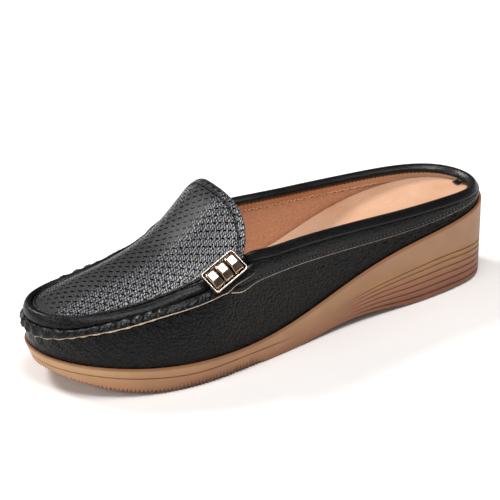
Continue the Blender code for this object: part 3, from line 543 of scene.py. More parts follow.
def wall(angle, level, off=0.0):
    """Point on the wall moved outward by off, with its normal: a smooth curve through five points."""
    angle, level, off = np.broadcast_arrays(angle, level, off)
    flat = angle.ravel()
    profile = profile_points(flat)
    levels = (np.clip(level.ravel() + shift, 0.0, 1.0) for shift in (-1e-3, 0.0, 1e-3))
    before, here, after = (
        np.einsum("nk,ckn->cn", spline(PROFILE_KNOTS, np.eye(5), row), profile) for row in levels)
    inward, upward = (after - before) / np.hypot(*(after - before))
    plan, out = ring(flat, here[0] - off.ravel() * upward)
    point = np.column_stack([plan, here[1] + off.ravel() * inward])
    normal = np.column_stack([out * upward[:, None], inward])
    return point.reshape(angle.shape + (3,)), normal.reshape(angle.shape + (3,))


def footbed_leather():
    """Peach pigskin over foam: matt, with fine pores and a faint cloudiness; painted light makes the shaded
    front paler.
    """
    shade, shader = surface("peach_footbed_leather", 0.62, sheen=0.15, level=0.3)
    point = place_of(shade)
    cloud = add(shade, "TexNoise", point, Scale=0.045, Detail=3.0)
    tone = add(shade, "ValToRGB", cloud, stops=((0.3, "#BD8D6B"), (0.52, "#C59879"), (0.75, "#CCA286")))
    pores = add(shade, "TexVoronoi", point, Scale=0.9, feature="DISTANCE_TO_EDGE")
    fine = add(shade, "TexNoise", point, Scale=1.4, Detail=5.0)
    depth = add(shade, "Mix", 0.35, pores, fine)
    speck = add(shade, "ValToRGB", add(shade, "TexNoise", point, Scale=1.1, Detail=2.0),
                stops=((0.42, 0.93), (0.6, 1.0)))
    # Painted light: the front, which lies in the vamp's shade, is made paler towards the toe
    front_painted_light = add(shade, "MapRange", add(shade, "SeparateXYZ", point), -60.0, 0.0)
    body = add(shade, "Mix", front_painted_light, tone, "#DDBFA2", data_type="RGBA")
    fill(shader, Base_Color=add(shade, "Mix", 1.0, body, speck, data_type="RGBA", blend_type="MULTIPLY"),
         Normal=add(shade, "Bump", Height=depth, Strength=0.3, Distance=0.0002))
    return shade


def inner_inset_at(angle, height):
    """How far in the wall's inner face stands at a height, read from the wall's own curve."""
    levels = np.linspace(0.0, 1.0, 41)
    points, _ = wall(angle[:, None], levels[None], -WALL)
    place, out = ring(angle, 0.0)
    inset = -np.einsum("nkc,nc->nk", points[..., :2] - place[:, None], out)
    cell = np.clip((points[..., 2] < height[:, None]).sum(axis=1) - 1, 0, 39)
    pick = np.arange(len(angle))
    low, high = points[pick, cell, 2], points[pick, cell + 1, 2]
    part = np.clip((height - low) / (high - low), 0.0, 1.0)
    return inset[pick, cell] * (1.0 - part) + inset[pick, cell + 1] * part


def make_insole():
    """A rounded edge carried round the outline, closed by rows across: dished face, flat back."""
    half = np.linspace(0.0, math.pi, 181)
    count = len(half)
    angles = both_sides(half)
    share = share_of(angles)
    top = insole_height(share)
    low = top - INSOLE_THICKNESS
    inset = np.maximum(inner_inset_at(angles, 0.5 * (top + low)), inner_inset_at(angles, top))
    inset = np.maximum(inset, LIP_WIDTH + 1.5 * GAP + WALL) + 1.6 * GAP
    side = np.stack([ring_row(angles, inset + step_in, level) for step_in, level in (
        (0.0006, low), (0.0, low + 0.0006), (0.0, top - 0.0011), (0.0002, top - 0.0006),
        (0.0006, top - 0.00025), (0.0013, top - 0.00005), (0.0022, top))], axis=1)
    skin = Skin()
    skin.grid(side)
    part = np.linspace(0.0, 1.0, 41)[None]
    heel = np.exp(-((share[:count, None] - 0.14) / 0.12) ** 2)
    for row, dish in ((0, 0.0), (-1, FOOTBED_DISH)):
        face = ruled(side[:count, row], side[::-1, row][:count], part)
        face[..., 2] -= dish * heel * (4.0 * part * (1.0 - part))
        skin.grid(face)
    insole = skin.piece("footbed", [footbed_leather()])
    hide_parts("insole")


make_insole()

# Upper
# The vamp and the plug: black corrected-grain cowhide over a tan leather lining, about 1.8 mm
# together, pulled over the last; the plug is embossed and pricked, its throat edge turned under.
HEM_WIDTH = 0.0030
HEM_RISE = 0.0007
HEM_ROUND = 0.0008
HEM_GROOVE_DEPTH = 0.0008
HEM_GROOVE_WIDTH = 0.00045

# Millimetres along the crest, from the throat, past which the plug has no stamp
PLUG_PLAIN_FROM = 104.0

# Columns: share of length, crest height share
CREST = (
    (0.56, 0.974), (0.60, 0.960), (0.62, 0.936), (0.66, 0.854), (0.70, 0.765),
    (0.74, 0.700), (0.79, 0.651), (0.86, 0.591), (0.93, 0.523), (1.00, 0.454))

# Columns: share of length, crest setback share, sideways share of the toe swing, roundness, sweep
CROWN = (
    (0.618, 0.232, -0.600, 3.0, 7.0), (0.66, 0.179, -0.200, 2.7, 4.0), (0.74, 0.143, 0.200, 2.4, 1.6),
    (0.82, 0.286, 0.200, 2.1, 1.0), (0.89, 0.500, -0.200, 2.0, 1.0), (0.95, 0.750, -0.600, 2.0, 1.0),
    (1.00, 1.000, -1.000, 2.0, 1.0))


def crest_height(share):
    """Height of the crest line over the foot."""
    return column(CREST, 1, share) * CREST_HEIGHT


def crown_plain(angle, reach):
    """Crown between the rim, reach 0, and the crest, reach 1: a rounded drop under the crest line."""
    share = share_of(angle)
    rim, _ = wall(angle, 1.0)
    back = column(CROWN, 1, share) * CREST_SETBACK
    crest = np.stack([SOLE_LENGTH * share - back, column(CROWN, 2, share) * TOE_SWING], axis=-1) + HEEL_AT
    sweep = 1.0 - (1.0 - reach) ** column(CROWN, 4, share)
    plan = rim[..., :2] + (crest - rim[..., :2]) * np.stack([sweep, reach], axis=-1)
    drop = crest_height((rim[..., 0] - HEEL_AT[0]) / SOLE_LENGTH) - rim[..., 2]
    fall = drop * (1.0 - reach) ** column(CROWN, 3, share)
    height = crest_height((plan[..., 0] - HEEL_AT[0]) / SOLE_LENGTH) - fall
    return np.concatenate([plan, height[..., None]], axis=-1)


def crown(angle, reach, off=0.0):
    """Crown point moved outward by off, with its normal."""
    angle, reach, off = np.broadcast_arrays(angle, reach, off)
    tiny = 2e-3
    point = crown_plain(angle, reach)
    above, below = (crown_plain(angle, np.clip(reach + shift, 0.0, 1.0)) for shift in (tiny, -tiny))
    normal = np.cross(crown_plain(angle + tiny, reach) - crown_plain(angle - tiny, reach), above - below)
    normal /= np.maximum(np.linalg.norm(normal, axis=-1, keepdims=True), 1e-12)
    normal *= np.where(normal[..., 2:] < 0.0, -1.0, 1.0)
    return point + normal * off[..., None], normal


def rim_corner(angle, off):
    """Rim point moved by off from the wall and from the crown alike."""
    _, side_normal = wall(angle, 0.985)
    rim, _ = wall(angle, 1.0)
    _, top_normal = crown(angle, 0.03)
    dot = np.sum(side_normal * top_normal, axis=-1, keepdims=True)
    return rim + (side_normal + top_normal) / (1.0 + np.maximum(dot, -0.2)) * off


def slope_length(angle):
    """Length of the wall's slope from the edge line to the rim."""
    insets, heights = profile_points(angle)
    first = np.hypot(insets[3] - insets[2], heights[3] - heights[2])
    return first + np.hypot(insets[4] - insets[3], heights[4] - heights[3])


def level_below_rim(angle, distance):
    """Wall level a given distance down the slope from the rim."""
    return 1.0 - 0.38 * distance / slope_length(angle)


def black_leather(name, size, strength, roughness, colour, gloss, valley):
    """Black finished leather: rounded grain cells of a size in millimetres, broken by finer wrinkles,
    whose rubbed tops shine between matt and darker valleys."""
    shade, shader = surface(name, roughness, coat=0.03, coat_roughness=0.2)
    point = place_of(shade)
    warp = add(shade, "TexNoise", point, Scale=0.5 / size, Detail=2.0).outputs["Color"]
    moved = add(shade, "VectorMath", warp, (size, size, size), point, operation="MULTIPLY_ADD")
    cells = add(shade, "TexVoronoi", moved, Scale=1.0 / size, Smoothness=0.6, feature="SMOOTH_F1")
    domes = add(shade, "Math", cells, -1.0, operation="MULTIPLY")
    wrinkle = add(shade, "TexNoise", point, Scale=1.2 / size, Detail=3.0, Roughness=0.5)
    grain = add(shade, "Mix", 0.25, domes, wrinkle)
    top = add(shade, "MapRange", grain, -0.42, 0.22, interpolation_type="SMOOTHSTEP")
    cloud = add(shade, "TexNoise", point, Scale=0.12, Detail=3.0)
    fill(shader, Base_Color=add(shade, "Mix", top, "#020202", colour, data_type="RGBA"),
         Normal=add(shade, "Bump", Height=grain, Strength=strength, Distance=0.0008),
         Roughness=add(shade, "MapRange", cloud, 0.3, 0.7, roughness - 0.05, roughness + 0.06),
         Specular_IOR_Level=add(shade, "MapRange", top, 0.0, 1.0, valley, gloss))
    return shade


def lattice(shade, along, across, pitch, row, wide, tall, lean):
    """1 inside each mark of a staggered lattice, 0 outside, from a pitch, row spacing and mark size in
    millimetres. The way to the nearest row and to the nearest mark in it are measured in marks: every
    row is shifted by half a pitch, and lean tilts the marks."""
    rows = add(shade, "Math", across, row, operation="DIVIDE")
    number = add(shade, "Math", rows, operation="ROUND")
    shift = add(shade, "Math", number, 0.5, operation="MULTIPLY")
    up = add(shade, "Math", rows, number, operation="SUBTRACT")
    place = add(shade, "Math", along, pitch, operation="DIVIDE")
    tilt = add(shade, "Math", up, lean, place, operation="MULTIPLY_ADD")
    placed = add(shade, "Math", tilt, shift, operation="ADD")
    whole = add(shade, "Math", placed, operation="ROUND")
    side = add(shade, "Math", placed, whole, operation="SUBTRACT")
    flat = add(shade, "CombineXYZ", add(shade, "Math", side, pitch / wide, operation="MULTIPLY"),
               add(shade, "Math", up, row / tall, operation="MULTIPLY"))
    size = add(shade, "VectorMath", flat, operation="LENGTH")
    return add(shade, "MapRange", size, 0.65, 0.3, interpolation_type="SMOOTHSTEP")


def plug_leather():
    """Plug leather: a stamp of short slanted bars with pricked holes, plainer at the crest; the bars' grey
    is painted sheen, paler still down the sides as painted light. Bars and holes are drawn as coarse as they
    need to be to show."""
    shade, shader = surface("stamped_plug_leather", 0.40, coat=0.05, coat_roughness=0.25, level=0.3)
    along, across, _ = add(shade, "SeparateXYZ", add(shade, "UVMap", uv_map="surface")).outputs
    inside = add(shade, "MapRange", along, PLUG_PLAIN_FROM, PLUG_PLAIN_FROM - 7.0,
                 interpolation_type="SMOOTHSTEP")
    pricks = lattice(shade, along, across, 5.1, 2.5, 0.95, 1.75, 0.28)
    holes = add(shade, "Math", pricks, inside, operation="MULTIPLY")
    point = place_of(shade)
    wander = add(shade, "TexNoise", point, Scale=0.45, Detail=2.0).outputs["Color"]
    drift = add(shade, "SeparateXYZ", wander).outputs
    swayed = [add(shade, "Math", drift[axis], 2.4, straight, operation="MULTIPLY_ADD")
              for axis, straight in enumerate((along, across))]
    bars = lattice(shade, *swayed, 1.35, 1.75, 0.9, 1.5, -0.9)
    spread = add(shade, "Math", across, operation="ABSOLUTE")
    stamp = add(shade, "MapRange", spread, 6.0, 14.0, 0.1, 1.0, interpolation_type="SMOOTHSTEP")
    pressed = add(shade, "Math", stamp, inside, operation="MULTIPLY")
    raised = add(shade, "Math", bars, pressed, operation="MULTIPLY")
    rough = add(shade, "TexNoise", point, Scale=1.3, Detail=4.0)
    mixed = add(shade, "Math", rough, 0.35, raised, operation="MULTIPLY_ADD")
    height = add(shade, "Math", holes, -1.5, mixed, operation="MULTIPLY_ADD")
    # Painted sheen: the raised bars are grey on black leather, and painted paler down the plug's sides,
    # where light from the front reaches them
    side_painted_light = add(shade, "MapRange", spread, 14.0, 32.0)
    bar_painted_sheen = add(shade, "Mix", side_painted_light, "#727277", "#A2A2A6", data_type="RGBA")
    tone = add(shade, "Mix", raised, "#060607", bar_painted_sheen, data_type="RGBA")
    shine = add(shade, "MapRange", raised, 0.0, 1.0, 0.22, 1.0)
    fill(shader, Base_Color=add(shade, "Mix", holes, tone, "#010101", data_type="RGBA"),
         Roughness=add(shade, "MapRange", raised, 0.0, 1.0, 0.46, 0.3),
         Specular_IOR_Level=add(shade, "Math", shine, holes, operation="SUBTRACT", use_clamp=True),
         Normal=add(shade, "Bump", Height=height, Strength=1.0, Distance=0.0009))
    return shade


def lining_leather():
    """Lining: tan split leather; a smooth band under the collar with painted light towards the heel, then
    painted shade along its zigzag seam and a fine nap below."""
    shade, shader = surface("tan_lining_leather", 0.6, sheen=0.2, level=0.3)
    point = place_of(shade)
    _, below, _ = add(shade, "SeparateXYZ", add(shade, "UVMap", uv_map="surface")).outputs
    band = add(shade, "MapRange", below, 6.8, 7.0)
    cloud = add(shade, "TexNoise", point, Scale=0.08, Detail=4.0)
    smooth_tone = add(shade, "ValToRGB", cloud, stops=((0.3, "#DA976C"), (0.7, "#E6AA80")))
    nap = add(shade, "TexNoise", point, Scale=1.2, Detail=6.0, Roughness=0.7)
    nap_tone = add(shade, "ValToRGB", nap, stops=((0.3, "#BE8463"), (0.7, "#DCAA86")))
    # Painted light: the smooth band is made paler towards the heel, where the roll shades it
    heel = add(shade, "MapRange", add(shade, "SeparateXYZ", point), -35.0, -100.0)
    upper_tone = add(shade, "Mix", heel, smooth_tone, "#F6CBA6", data_type="RGBA")
    tone = add(shade, "Mix", band, upper_tone, nap_tone, data_type="RGBA")
    # Painted shade: a dark line along the seam, where the smooth band laps over the nap
    seam = add(shade, "ValToRGB", add(shade, "MapRange", below, 5.9, 7.9),
               stops=((0.35, 0.0), (0.5, 0.85), (0.62, 0.0)))
    fill(shader, Base_Color=add(shade, "Mix", seam, tone, "#5E2F1C", data_type="RGBA"),
         Normal=add(shade, "Bump", Height=nap, Strength=0.3, Distance=0.0002))
    return shade


def upper_stations():
    """Ring angles of one side: even round the back, closer at the throat's hem, even to the toe."""
    back = np.linspace(0.0, angle_of(THROAT_SHARE), 130)
    hem = angle_of(THROAT_SHARE + np.linspace(0.0, 0.0048, 17) / SOLE_LENGTH)
    front = np.linspace(hem[-1], math.pi, 190)
    return np.unique(np.concatenate([back[:-1], hem, front[1:]]))


def make_upper():
    """Wall rows and crown rows on shared stations, a second skin inside, and strips that join them."""
    stations = upper_stations()
    throat_at = int(np.argmin(np.abs(stations - angle_of(THROAT_SHARE))))
    angles = both_sides(stations)
    turn_at = len(stations) - 1
    skin = Skin()
    level = np.linspace(0.0, 1.0, 34)[None]
    front_part = smooth_step(0.80, 0.93, share_of(angles))[:, None]
    ripple = 0.0003 * front_part * np.exp(-((level - 0.50) / 0.10) ** 2) * (level < 0.61)
    outer, _ = wall(angles[:, None], level, ripple * np.cos(angles[:, None] * 41.0))
    inner, _ = wall(angles[:, None], np.linspace(0.0, 1.0, 18)[None], -WALL)
    front = (np.arange(len(angles)) >= throat_at) & (np.arange(len(angles)) <= 2 * turn_at - throat_at)
    inner[front, -1] = rim_corner(angles[front], -WALL)
    travel = travel_of(outer[:, -1])[:, None]
    skin.grid(outer, 0, travel_of(outer), travel)
    depth = travel_of(inner)
    skin.grid(inner, 2, depth[:, -1:] - depth, travel)
    skin.grid(np.stack([outer[:, 0], inner[:, 0]], axis=1))
    rear = np.concatenate([np.arange(2 * turn_at - throat_at, 2 * turn_at), np.arange(0, throat_at + 1)])
    skin.grid(np.stack([outer[rear, -1], inner[rear, -1]], axis=1))
    half = stations[throat_at:]
    reach = np.concatenate([[0.0, 0.02, 0.045], np.linspace(0.075, 1.0, 68)])
    from_edge = (share_of(half) - THROAT_SHARE) * SOLE_LENGTH
    fold = np.sqrt(np.clip(1.0 - (1.0 - from_edge / HEM_ROUND) ** 2, 0.0, 1.0))
    fold = np.where(from_edge > HEM_ROUND, 1.0, fold)
    hem = HEM_RISE * fold * (1.0 - smooth_step(HEM_WIDTH - 0.0004, HEM_WIDTH + 0.0003, from_edge))
    groove = HEM_GROOVE_DEPTH * np.exp(-((from_edge - HEM_WIDTH - 0.0002) / HEM_GROOVE_WIDTH) ** 2)
    lift = (hem - groove)[:, None] * smooth_step(0.0, 0.07, reach)[None]
    grids = []
    for side_angles in (half, TURN - half):
        sheet, _ = crown(side_angles[:, None], reach[None], lift)
        sheet[:, 0] = wall(side_angles, 1.0)[0]
        low, _ = crown(side_angles[:, None], reach[None], -WALL)
        low[:, 0] = rim_corner(side_angles, -WALL)
        grids.append([sheet, low])
    for row in (0, 1):
        grids[1][row][:, -1] = grids[0][row][:, -1]
        grids[1][row][-1] = grids[0][row][-1]
    crest = grids[0][0][:, -1]
    crest = crest[np.argsort(crest[:, 0])]
    for sign, (sheet, low) in zip((1.0, -1.0), grids):
        across = travel_of(sheet)
        across = across[:, -1:] - across
        away = sheet[..., :2] - sheet[:, -1:, :2]
        across = across * np.abs(away[..., 1]) / np.maximum(np.hypot(away[..., 0], away[..., 1]), 1e-9)
        along = np.interp(sheet[..., 0], crest[:, 0], travel_of(crest))
        beyond = np.maximum(sheet[..., 0] - crest[-1, 0], 0.0)
        skin.grid(sheet, 1, sign * across, along + beyond)
        skin.grid(low, 2, 0.006)
        skin.grid(np.stack([sheet[0], low[0]]), 1)
    upper = skin.piece("moccasin_upper", [
        black_leather("black_smooth_leather", 1.2, 0.9, 0.34, "#070708", 0.28, 0.16),
        plug_leather(), lining_leather()], sharp=55.0)
    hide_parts("upper")


make_upper()

# Collar band
# A strip of grained leather about 1 mm thick laid round the back under the collar, cut raw along
# its lower edge and fixed by one row of black thread 2 mm above that edge.
COLLAR_BAND_END_SHARE = 0.662
COLLAR_BAND_THICKNESS = 0.0009
COLLAR_STITCH_UP = 0.0020
COLLAR_GROOVE = 0.00028
COLLAR_DIP = 0.0018
COLLAR_DIP_SHARE = 0.634
COLLAR_DIP_RUN = 0.026
STITCH_PITCH = 0.0023
STITCH_LENGTH = 0.0017
THREAD = 0.0003


def bonded_thread(name, dark, light, roughness):
    """Bonded polyester thread: a tight twist, as waxy or as matt as its roughness says."""
    shade, shader = surface(name, roughness, sheen=0.1)
    twist = add(shade, "TexWave", place_of(shade), Scale=1.2, Distortion=1.0, bands_direction="DIAGONAL")
    fill(shader, Base_Color=add(shade, "Mix", twist, dark, light, data_type="RGBA"),
         Normal=add(shade, "Bump", Height=twist, Strength=0.4, Distance=0.0001))
    return shade


def cut_edge():
    """The cut edge of chrome leather: pale tan fibre, a little ragged, quite matt."""
    shade, shader = surface("raw_cut_edge", 0.8, level=0.2)
    fibre = add(shade, "TexNoise", place_of(shade), Scale=1.8, Detail=4.0)
    fill(shader, Base_Color=add(shade, "ValToRGB", fibre, stops=((0.35, "#A08A76"), (0.65, "#DCC8B4"))),
         Normal=add(shade, "Bump", Height=fibre, Strength=0.4, Distance=0.0001))
    return shade


def stitch_row(name, path, normals, pitch, length, radius, shade, sway=0.0):
    """A bowed capsule for each pitch along a path: circles that narrow at the ends, round a core as long
    as the stitch and raised in its middle; sway leans the stitches in turn from side to side."""
    travel = travel_of(path)
    count = int(travel[-1] / pitch)
    middles = (np.arange(count) + 0.5) * travel[-1] / count
    place, ahead, up = (
        np.stack([np.interp(where, travel, source[:, axis]) for axis in range(3)], axis=1)
        for where, source in ((middles, path), (middles + 0.0002, path), (middles, normals)))
    along = ahead - place
    along /= np.linalg.norm(along, axis=1, keepdims=True)
    up -= along * np.sum(up * along, axis=1, keepdims=True)
    up /= np.linalg.norm(up, axis=1, keepdims=True)
    side = np.cross(along, up)
    lean = np.where(np.arange(count) % 2 == 0, sway, -sway)[:, None]
    run = along + side * lean / length
    part = np.linspace(-1.0, 1.0, 7)[:, None]
    turn = np.linspace(0.0, TURN, 7)[:, None]
    fat = radius * np.sqrt(np.clip(1.0 - part ** 6, 0.02, 1.0))
    bow = 0.8 * radius * (1.0 - part ** 2)
    core = place[:, None] + run[:, None] * (0.5 * length * part) + up[:, None] * bow
    spokes = up[:, None, None] * np.cos(turn) + side[:, None, None] * np.sin(turn)
    skin = Skin()
    for middle, tube in zip(core, core[:, :, None] + fat[:, None] * spokes):
        skin.grid(tube)
        for end in (0, -1):
            skin.grid(np.stack([tube[end], np.broadcast_to(middle[end], tube[end].shape)]))
    skin.piece(name, [shade], merge=1e-6, sharp=80.0)


def slab(outer, inner, cut=0):
    """Closes a strip's outer and inner grids into a skin; cut gives its first column the cut edge's slot."""
    skin = Skin()
    if cut:
        skin.grid(outer[:, :2], cut)
    skin.grid(outer[:, cut:], 0, travel_of(outer[:, cut:]), travel_of(outer[:, -1])[:, None])
    skin.grid(inner)
    skin.grid(np.stack([outer[:, 0], inner[:, 0]]), cut)
    for pick in ((slice(None), -1), 0, -1):
        skin.grid(np.stack([outer[pick], inner[pick]]))
    return skin


def level_above_edge(angle, distance):
    """Wall level a given distance up the slope from the edge line."""
    return 0.62 + 0.38 * distance / slope_length(angle)


def make_collar_band():
    """Columns up the slope from the edge line to the binding, with a rounded lower edge that dips in front
    and a groove, a bell curve across, for the thread."""
    half = np.linspace(0.0, angle_of(COLLAR_BAND_END_SHARE), 190)
    angles = np.concatenate([-half[:0:-1], half])
    top = slope_length(angles) - BINDING_OUTSIDE - GAP
    first = np.array([0.0, 0.00025, 0.0005, 0.0008, 0.0012, 0.0016, 0.0018, 0.0020, 0.0022, 0.0024])
    rest = 0.0024 + (top[:, None] - 0.0024) * np.linspace(0.12, 1.0, 9)[None]
    distance = np.concatenate([np.broadcast_to(first, (len(angles), len(first))), rest], axis=1)
    share = share_of(angles)[:, None]
    dip = COLLAR_DIP * np.exp(-((share - COLLAR_DIP_SHARE) / COLLAR_DIP_RUN) ** 2)
    dip = dip * (1.0 - distance / top[:, None])
    level = level_above_edge(angles[:, None], distance - dip)
    fade = np.clip(distance / 0.0005, 0.0, 1.0)
    groove = COLLAR_GROOVE * np.exp(-((distance - COLLAR_STITCH_UP) / COLLAR_GROOVE) ** 2)
    rise = COLLAR_BAND_THICKNESS * (0.8 + 0.2 * np.sqrt(fade)) - groove
    outer, _ = wall(angles[:, None], level, 1.2 * GAP + rise)
    inner, _ = wall(angles[:, None], level, 1.2 * GAP)
    grained = black_leather("tumbled_strip_leather", 0.9, 0.4, 0.33, "#08080A", 0.42, 0.18)
    band = slab(outer, inner, 1).piece("collar_strip", [grained, cut_edge()], sharp=50.0)
    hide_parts("collar_band")
    level = level_above_edge(angles, COLLAR_STITCH_UP)
    path, normals = wall(angles, level, 1.2 * GAP + COLLAR_BAND_THICKNESS - 0.0002)
    # The black thread's light twist tone, #3A3A3E, is partly painted highlight, where the thread catches the
    # light
    stitch_row("collar_stitches", path, normals, STITCH_PITCH, STITCH_LENGTH, THREAD,
               bonded_thread("black_bonded_thread", "#0C0C0D", "#3A3A3E", 0.3))


make_collar_band()

# Topline binding
# A strip of thin smooth leather folded over the collar and rolled round a cord: it shows as a
# soft black roll outside and a narrow strip inside, whose lower edge is cut in small points.
POINT_PITCH = 0.0022
POINT_DEPTH = 0.0012


def fold_through(points, columns):
    """A smooth curve through a fold's points at each station, spread over the columns."""
    knots = np.linspace(0.0, 1.0, len(points))
    return spline(knots, np.stack(points), np.linspace(0.0, 1.0, columns)).transpose(1, 0, 2)


def make_binding():
    """A fold at each station, carried round the back: outside a smooth curve through eight points,
    inside straight lines through seven; the lower edge inside is a zigzag."""
    half = np.linspace(0.0, angle_of(BINDING_END_SHARE), 330)
    angles = np.concatenate([-half[:0:-1], half])
    top, normal = wall(angles, 1.0)
    lift = top - wall(angles, 0.97)[0]
    lift /= np.linalg.norm(lift, axis=1, keepdims=True)
    points = POINT_DEPTH * zigzag(travel_of(top) / POINT_PITCH)
    outside = level_below_rim(angles, BINDING_OUTSIDE)
    inside = level_below_rim(angles, BINDING_INSIDE + points - 0.5 * POINT_DEPTH)
    thick = BINDING_THICKNESS * (1.0 - 0.6 * smooth_step(0.590, BINDING_END_SHARE, share_of(angles)))
    deep = thick[:, None]
    outer = fold_through([
        wall(angles, outside, GAP + 0.78 * thick)[0],
        wall(angles, level_below_rim(angles, 0.7 * BINDING_OUTSIDE), GAP + 0.98 * thick)[0],
        top + normal * (GAP + 1.05 * deep) - lift * 0.0006,
        top + normal * (GAP + 0.75 * deep) + lift * (GAP + 0.55 * deep),
        top - normal * 0.5 * WALL + lift * (GAP + deep),
        top - normal * (WALL + GAP + 0.75 * deep) + lift * (GAP + 0.5 * deep),
        top - normal * (WALL + GAP + deep) - lift * 0.0006,
        wall(angles, inside, -WALL - GAP - 0.35 * thick)[0]], 29)
    inner = np.stack([
        wall(angles, outside, GAP)[0],
        top + normal * GAP,
        top + normal * GAP + lift * GAP,
        top - normal * 0.5 * WALL + lift * GAP,
        top - normal * (WALL + GAP) + lift * GAP,
        top - normal * (WALL + GAP),
        wall(angles, inside, -WALL - GAP)[0]])
    fold = np.linspace(0.0, 6.0, 29)
    cell = np.minimum(fold.astype(int), 5)
    near = (fold - cell)[:, None, None]
    inner = (inner[cell] * (1.0 - near) + inner[cell + 1] * near).transpose(1, 0, 2)
    rolled = black_leather("rolled_edge_leather", 0.8, 0.25, 0.33, "#09090A", 0.5, 0.28)
    roll = slab(outer, inner).piece("rolled_binding", [rolled], sharp=60.0)
    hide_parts("topline_binding")


make_binding()

# Heel loop
# A short end of the binding strip, of the same thin black leather, left hanging inside at the back
# seam, where the roll is closed over it.
LOOP_START_DOWN = 0.0012

# Columns: metres forward from the wall, share of the height above the footbed
LOOP_PATH = ((0.0, 1.0), (0.0005, 0.62), (0.0014, 0.26), (0.0028, 0.06), (0.0040, 0.0))


def make_heel_loop():
    """A tongue from under the roll, curled forward over the footbed: nine columns down a smooth path,
    drawn together in its middle."""
    angles = np.linspace(-0.125, 0.005, 9)
    start, _ = wall(angles, level_below_rim(angles, LOOP_START_DOWN), -WALL - GAP - 0.0004)
    _, out = ring(angles, 0.0)
    rest = insole_height(share_of(angles)) + 0.0004
    part = np.linspace(0.0, 1.0, 17)
    path = spline(np.linspace(0.0, 1.0, 5), LOOP_PATH, part)
    pinch = 1.0 - 0.35 * np.sin(math.pi * part)[:, None, None]
    middle = start[:, :2].mean(axis=0)
    faces = []
    for lift in (BINDING_THICKNESS, 0.0):
        plan = middle + (start[:, :2] - middle) * pinch - out * (path[:, None, :1] + 0.5 * lift)
        height = rest + (start[:, 2] - rest) * path[:, 1:] + 0.7 * lift
        faces.append(np.concatenate([plan, height[..., None]], axis=-1))
    loop = slab(*faces).piece("heel_loop", [bpy.data.materials["rolled_edge_leather"]], sharp=50.0)


make_heel_loop()

# Lining seam
# Inside, the smooth collar lining laps over the napped one, and a zigzag of pale polyester thread
# holds the two leathers together.
LINING_SEAM_DOWN = 0.0069
LINING_PITCH = 0.0022
LINING_STITCH = 0.0019
LINING_THREAD = 0.00034
LINING_SWAY = 0.0011


def make_lining_stitches():
    """Stitches that lean in turn, on the wall's inner face a set way below the rim, on both sides."""
    shade = bonded_thread("pale_lining_thread", "#EBCBA8", "#FBE8D0", 0.6)
    for side, sign in (("outer", 1.0), ("inner", -1.0)):
        angles = sign * np.linspace(angle_of(0.165), angle_of(0.66), 260)
        path, normals = wall(angles, level_below_rim(angles, LINING_SEAM_DOWN), -WALL - 0.0001)
        stitch_row("lining_stitches_" + side, path, -normals, LINING_PITCH, LINING_STITCH, LINING_THREAD,
                   shade, LINING_SWAY)


make_lining_stitches()

# Apron band
# The strip that gathers the vamp to the plug: grained leather about 1.2 mm thick, cut raw along
# its lower edge, puckered by the thread into lumps round the toe and into small folds behind.
TAB_SHOWN_SHARE = 0.6105
TAB_CORNER_SHARE = 0.672
TAB_CORNER_RISE = 0.0052
BAND_THICKNESS = 0.0012
SEAM_CROWN_SIDE = 0.0017
SEAM_WALL_SIDE = 0.0036
SEAM_HEIGHT = 0.0020
SEAM_START_SHARE = 0.668
GATHER_PITCH = 0.0065
GATHER_RISE = 0.0012
FOLD_PITCH = 0.0031
FOLD_RISE = 0.0008


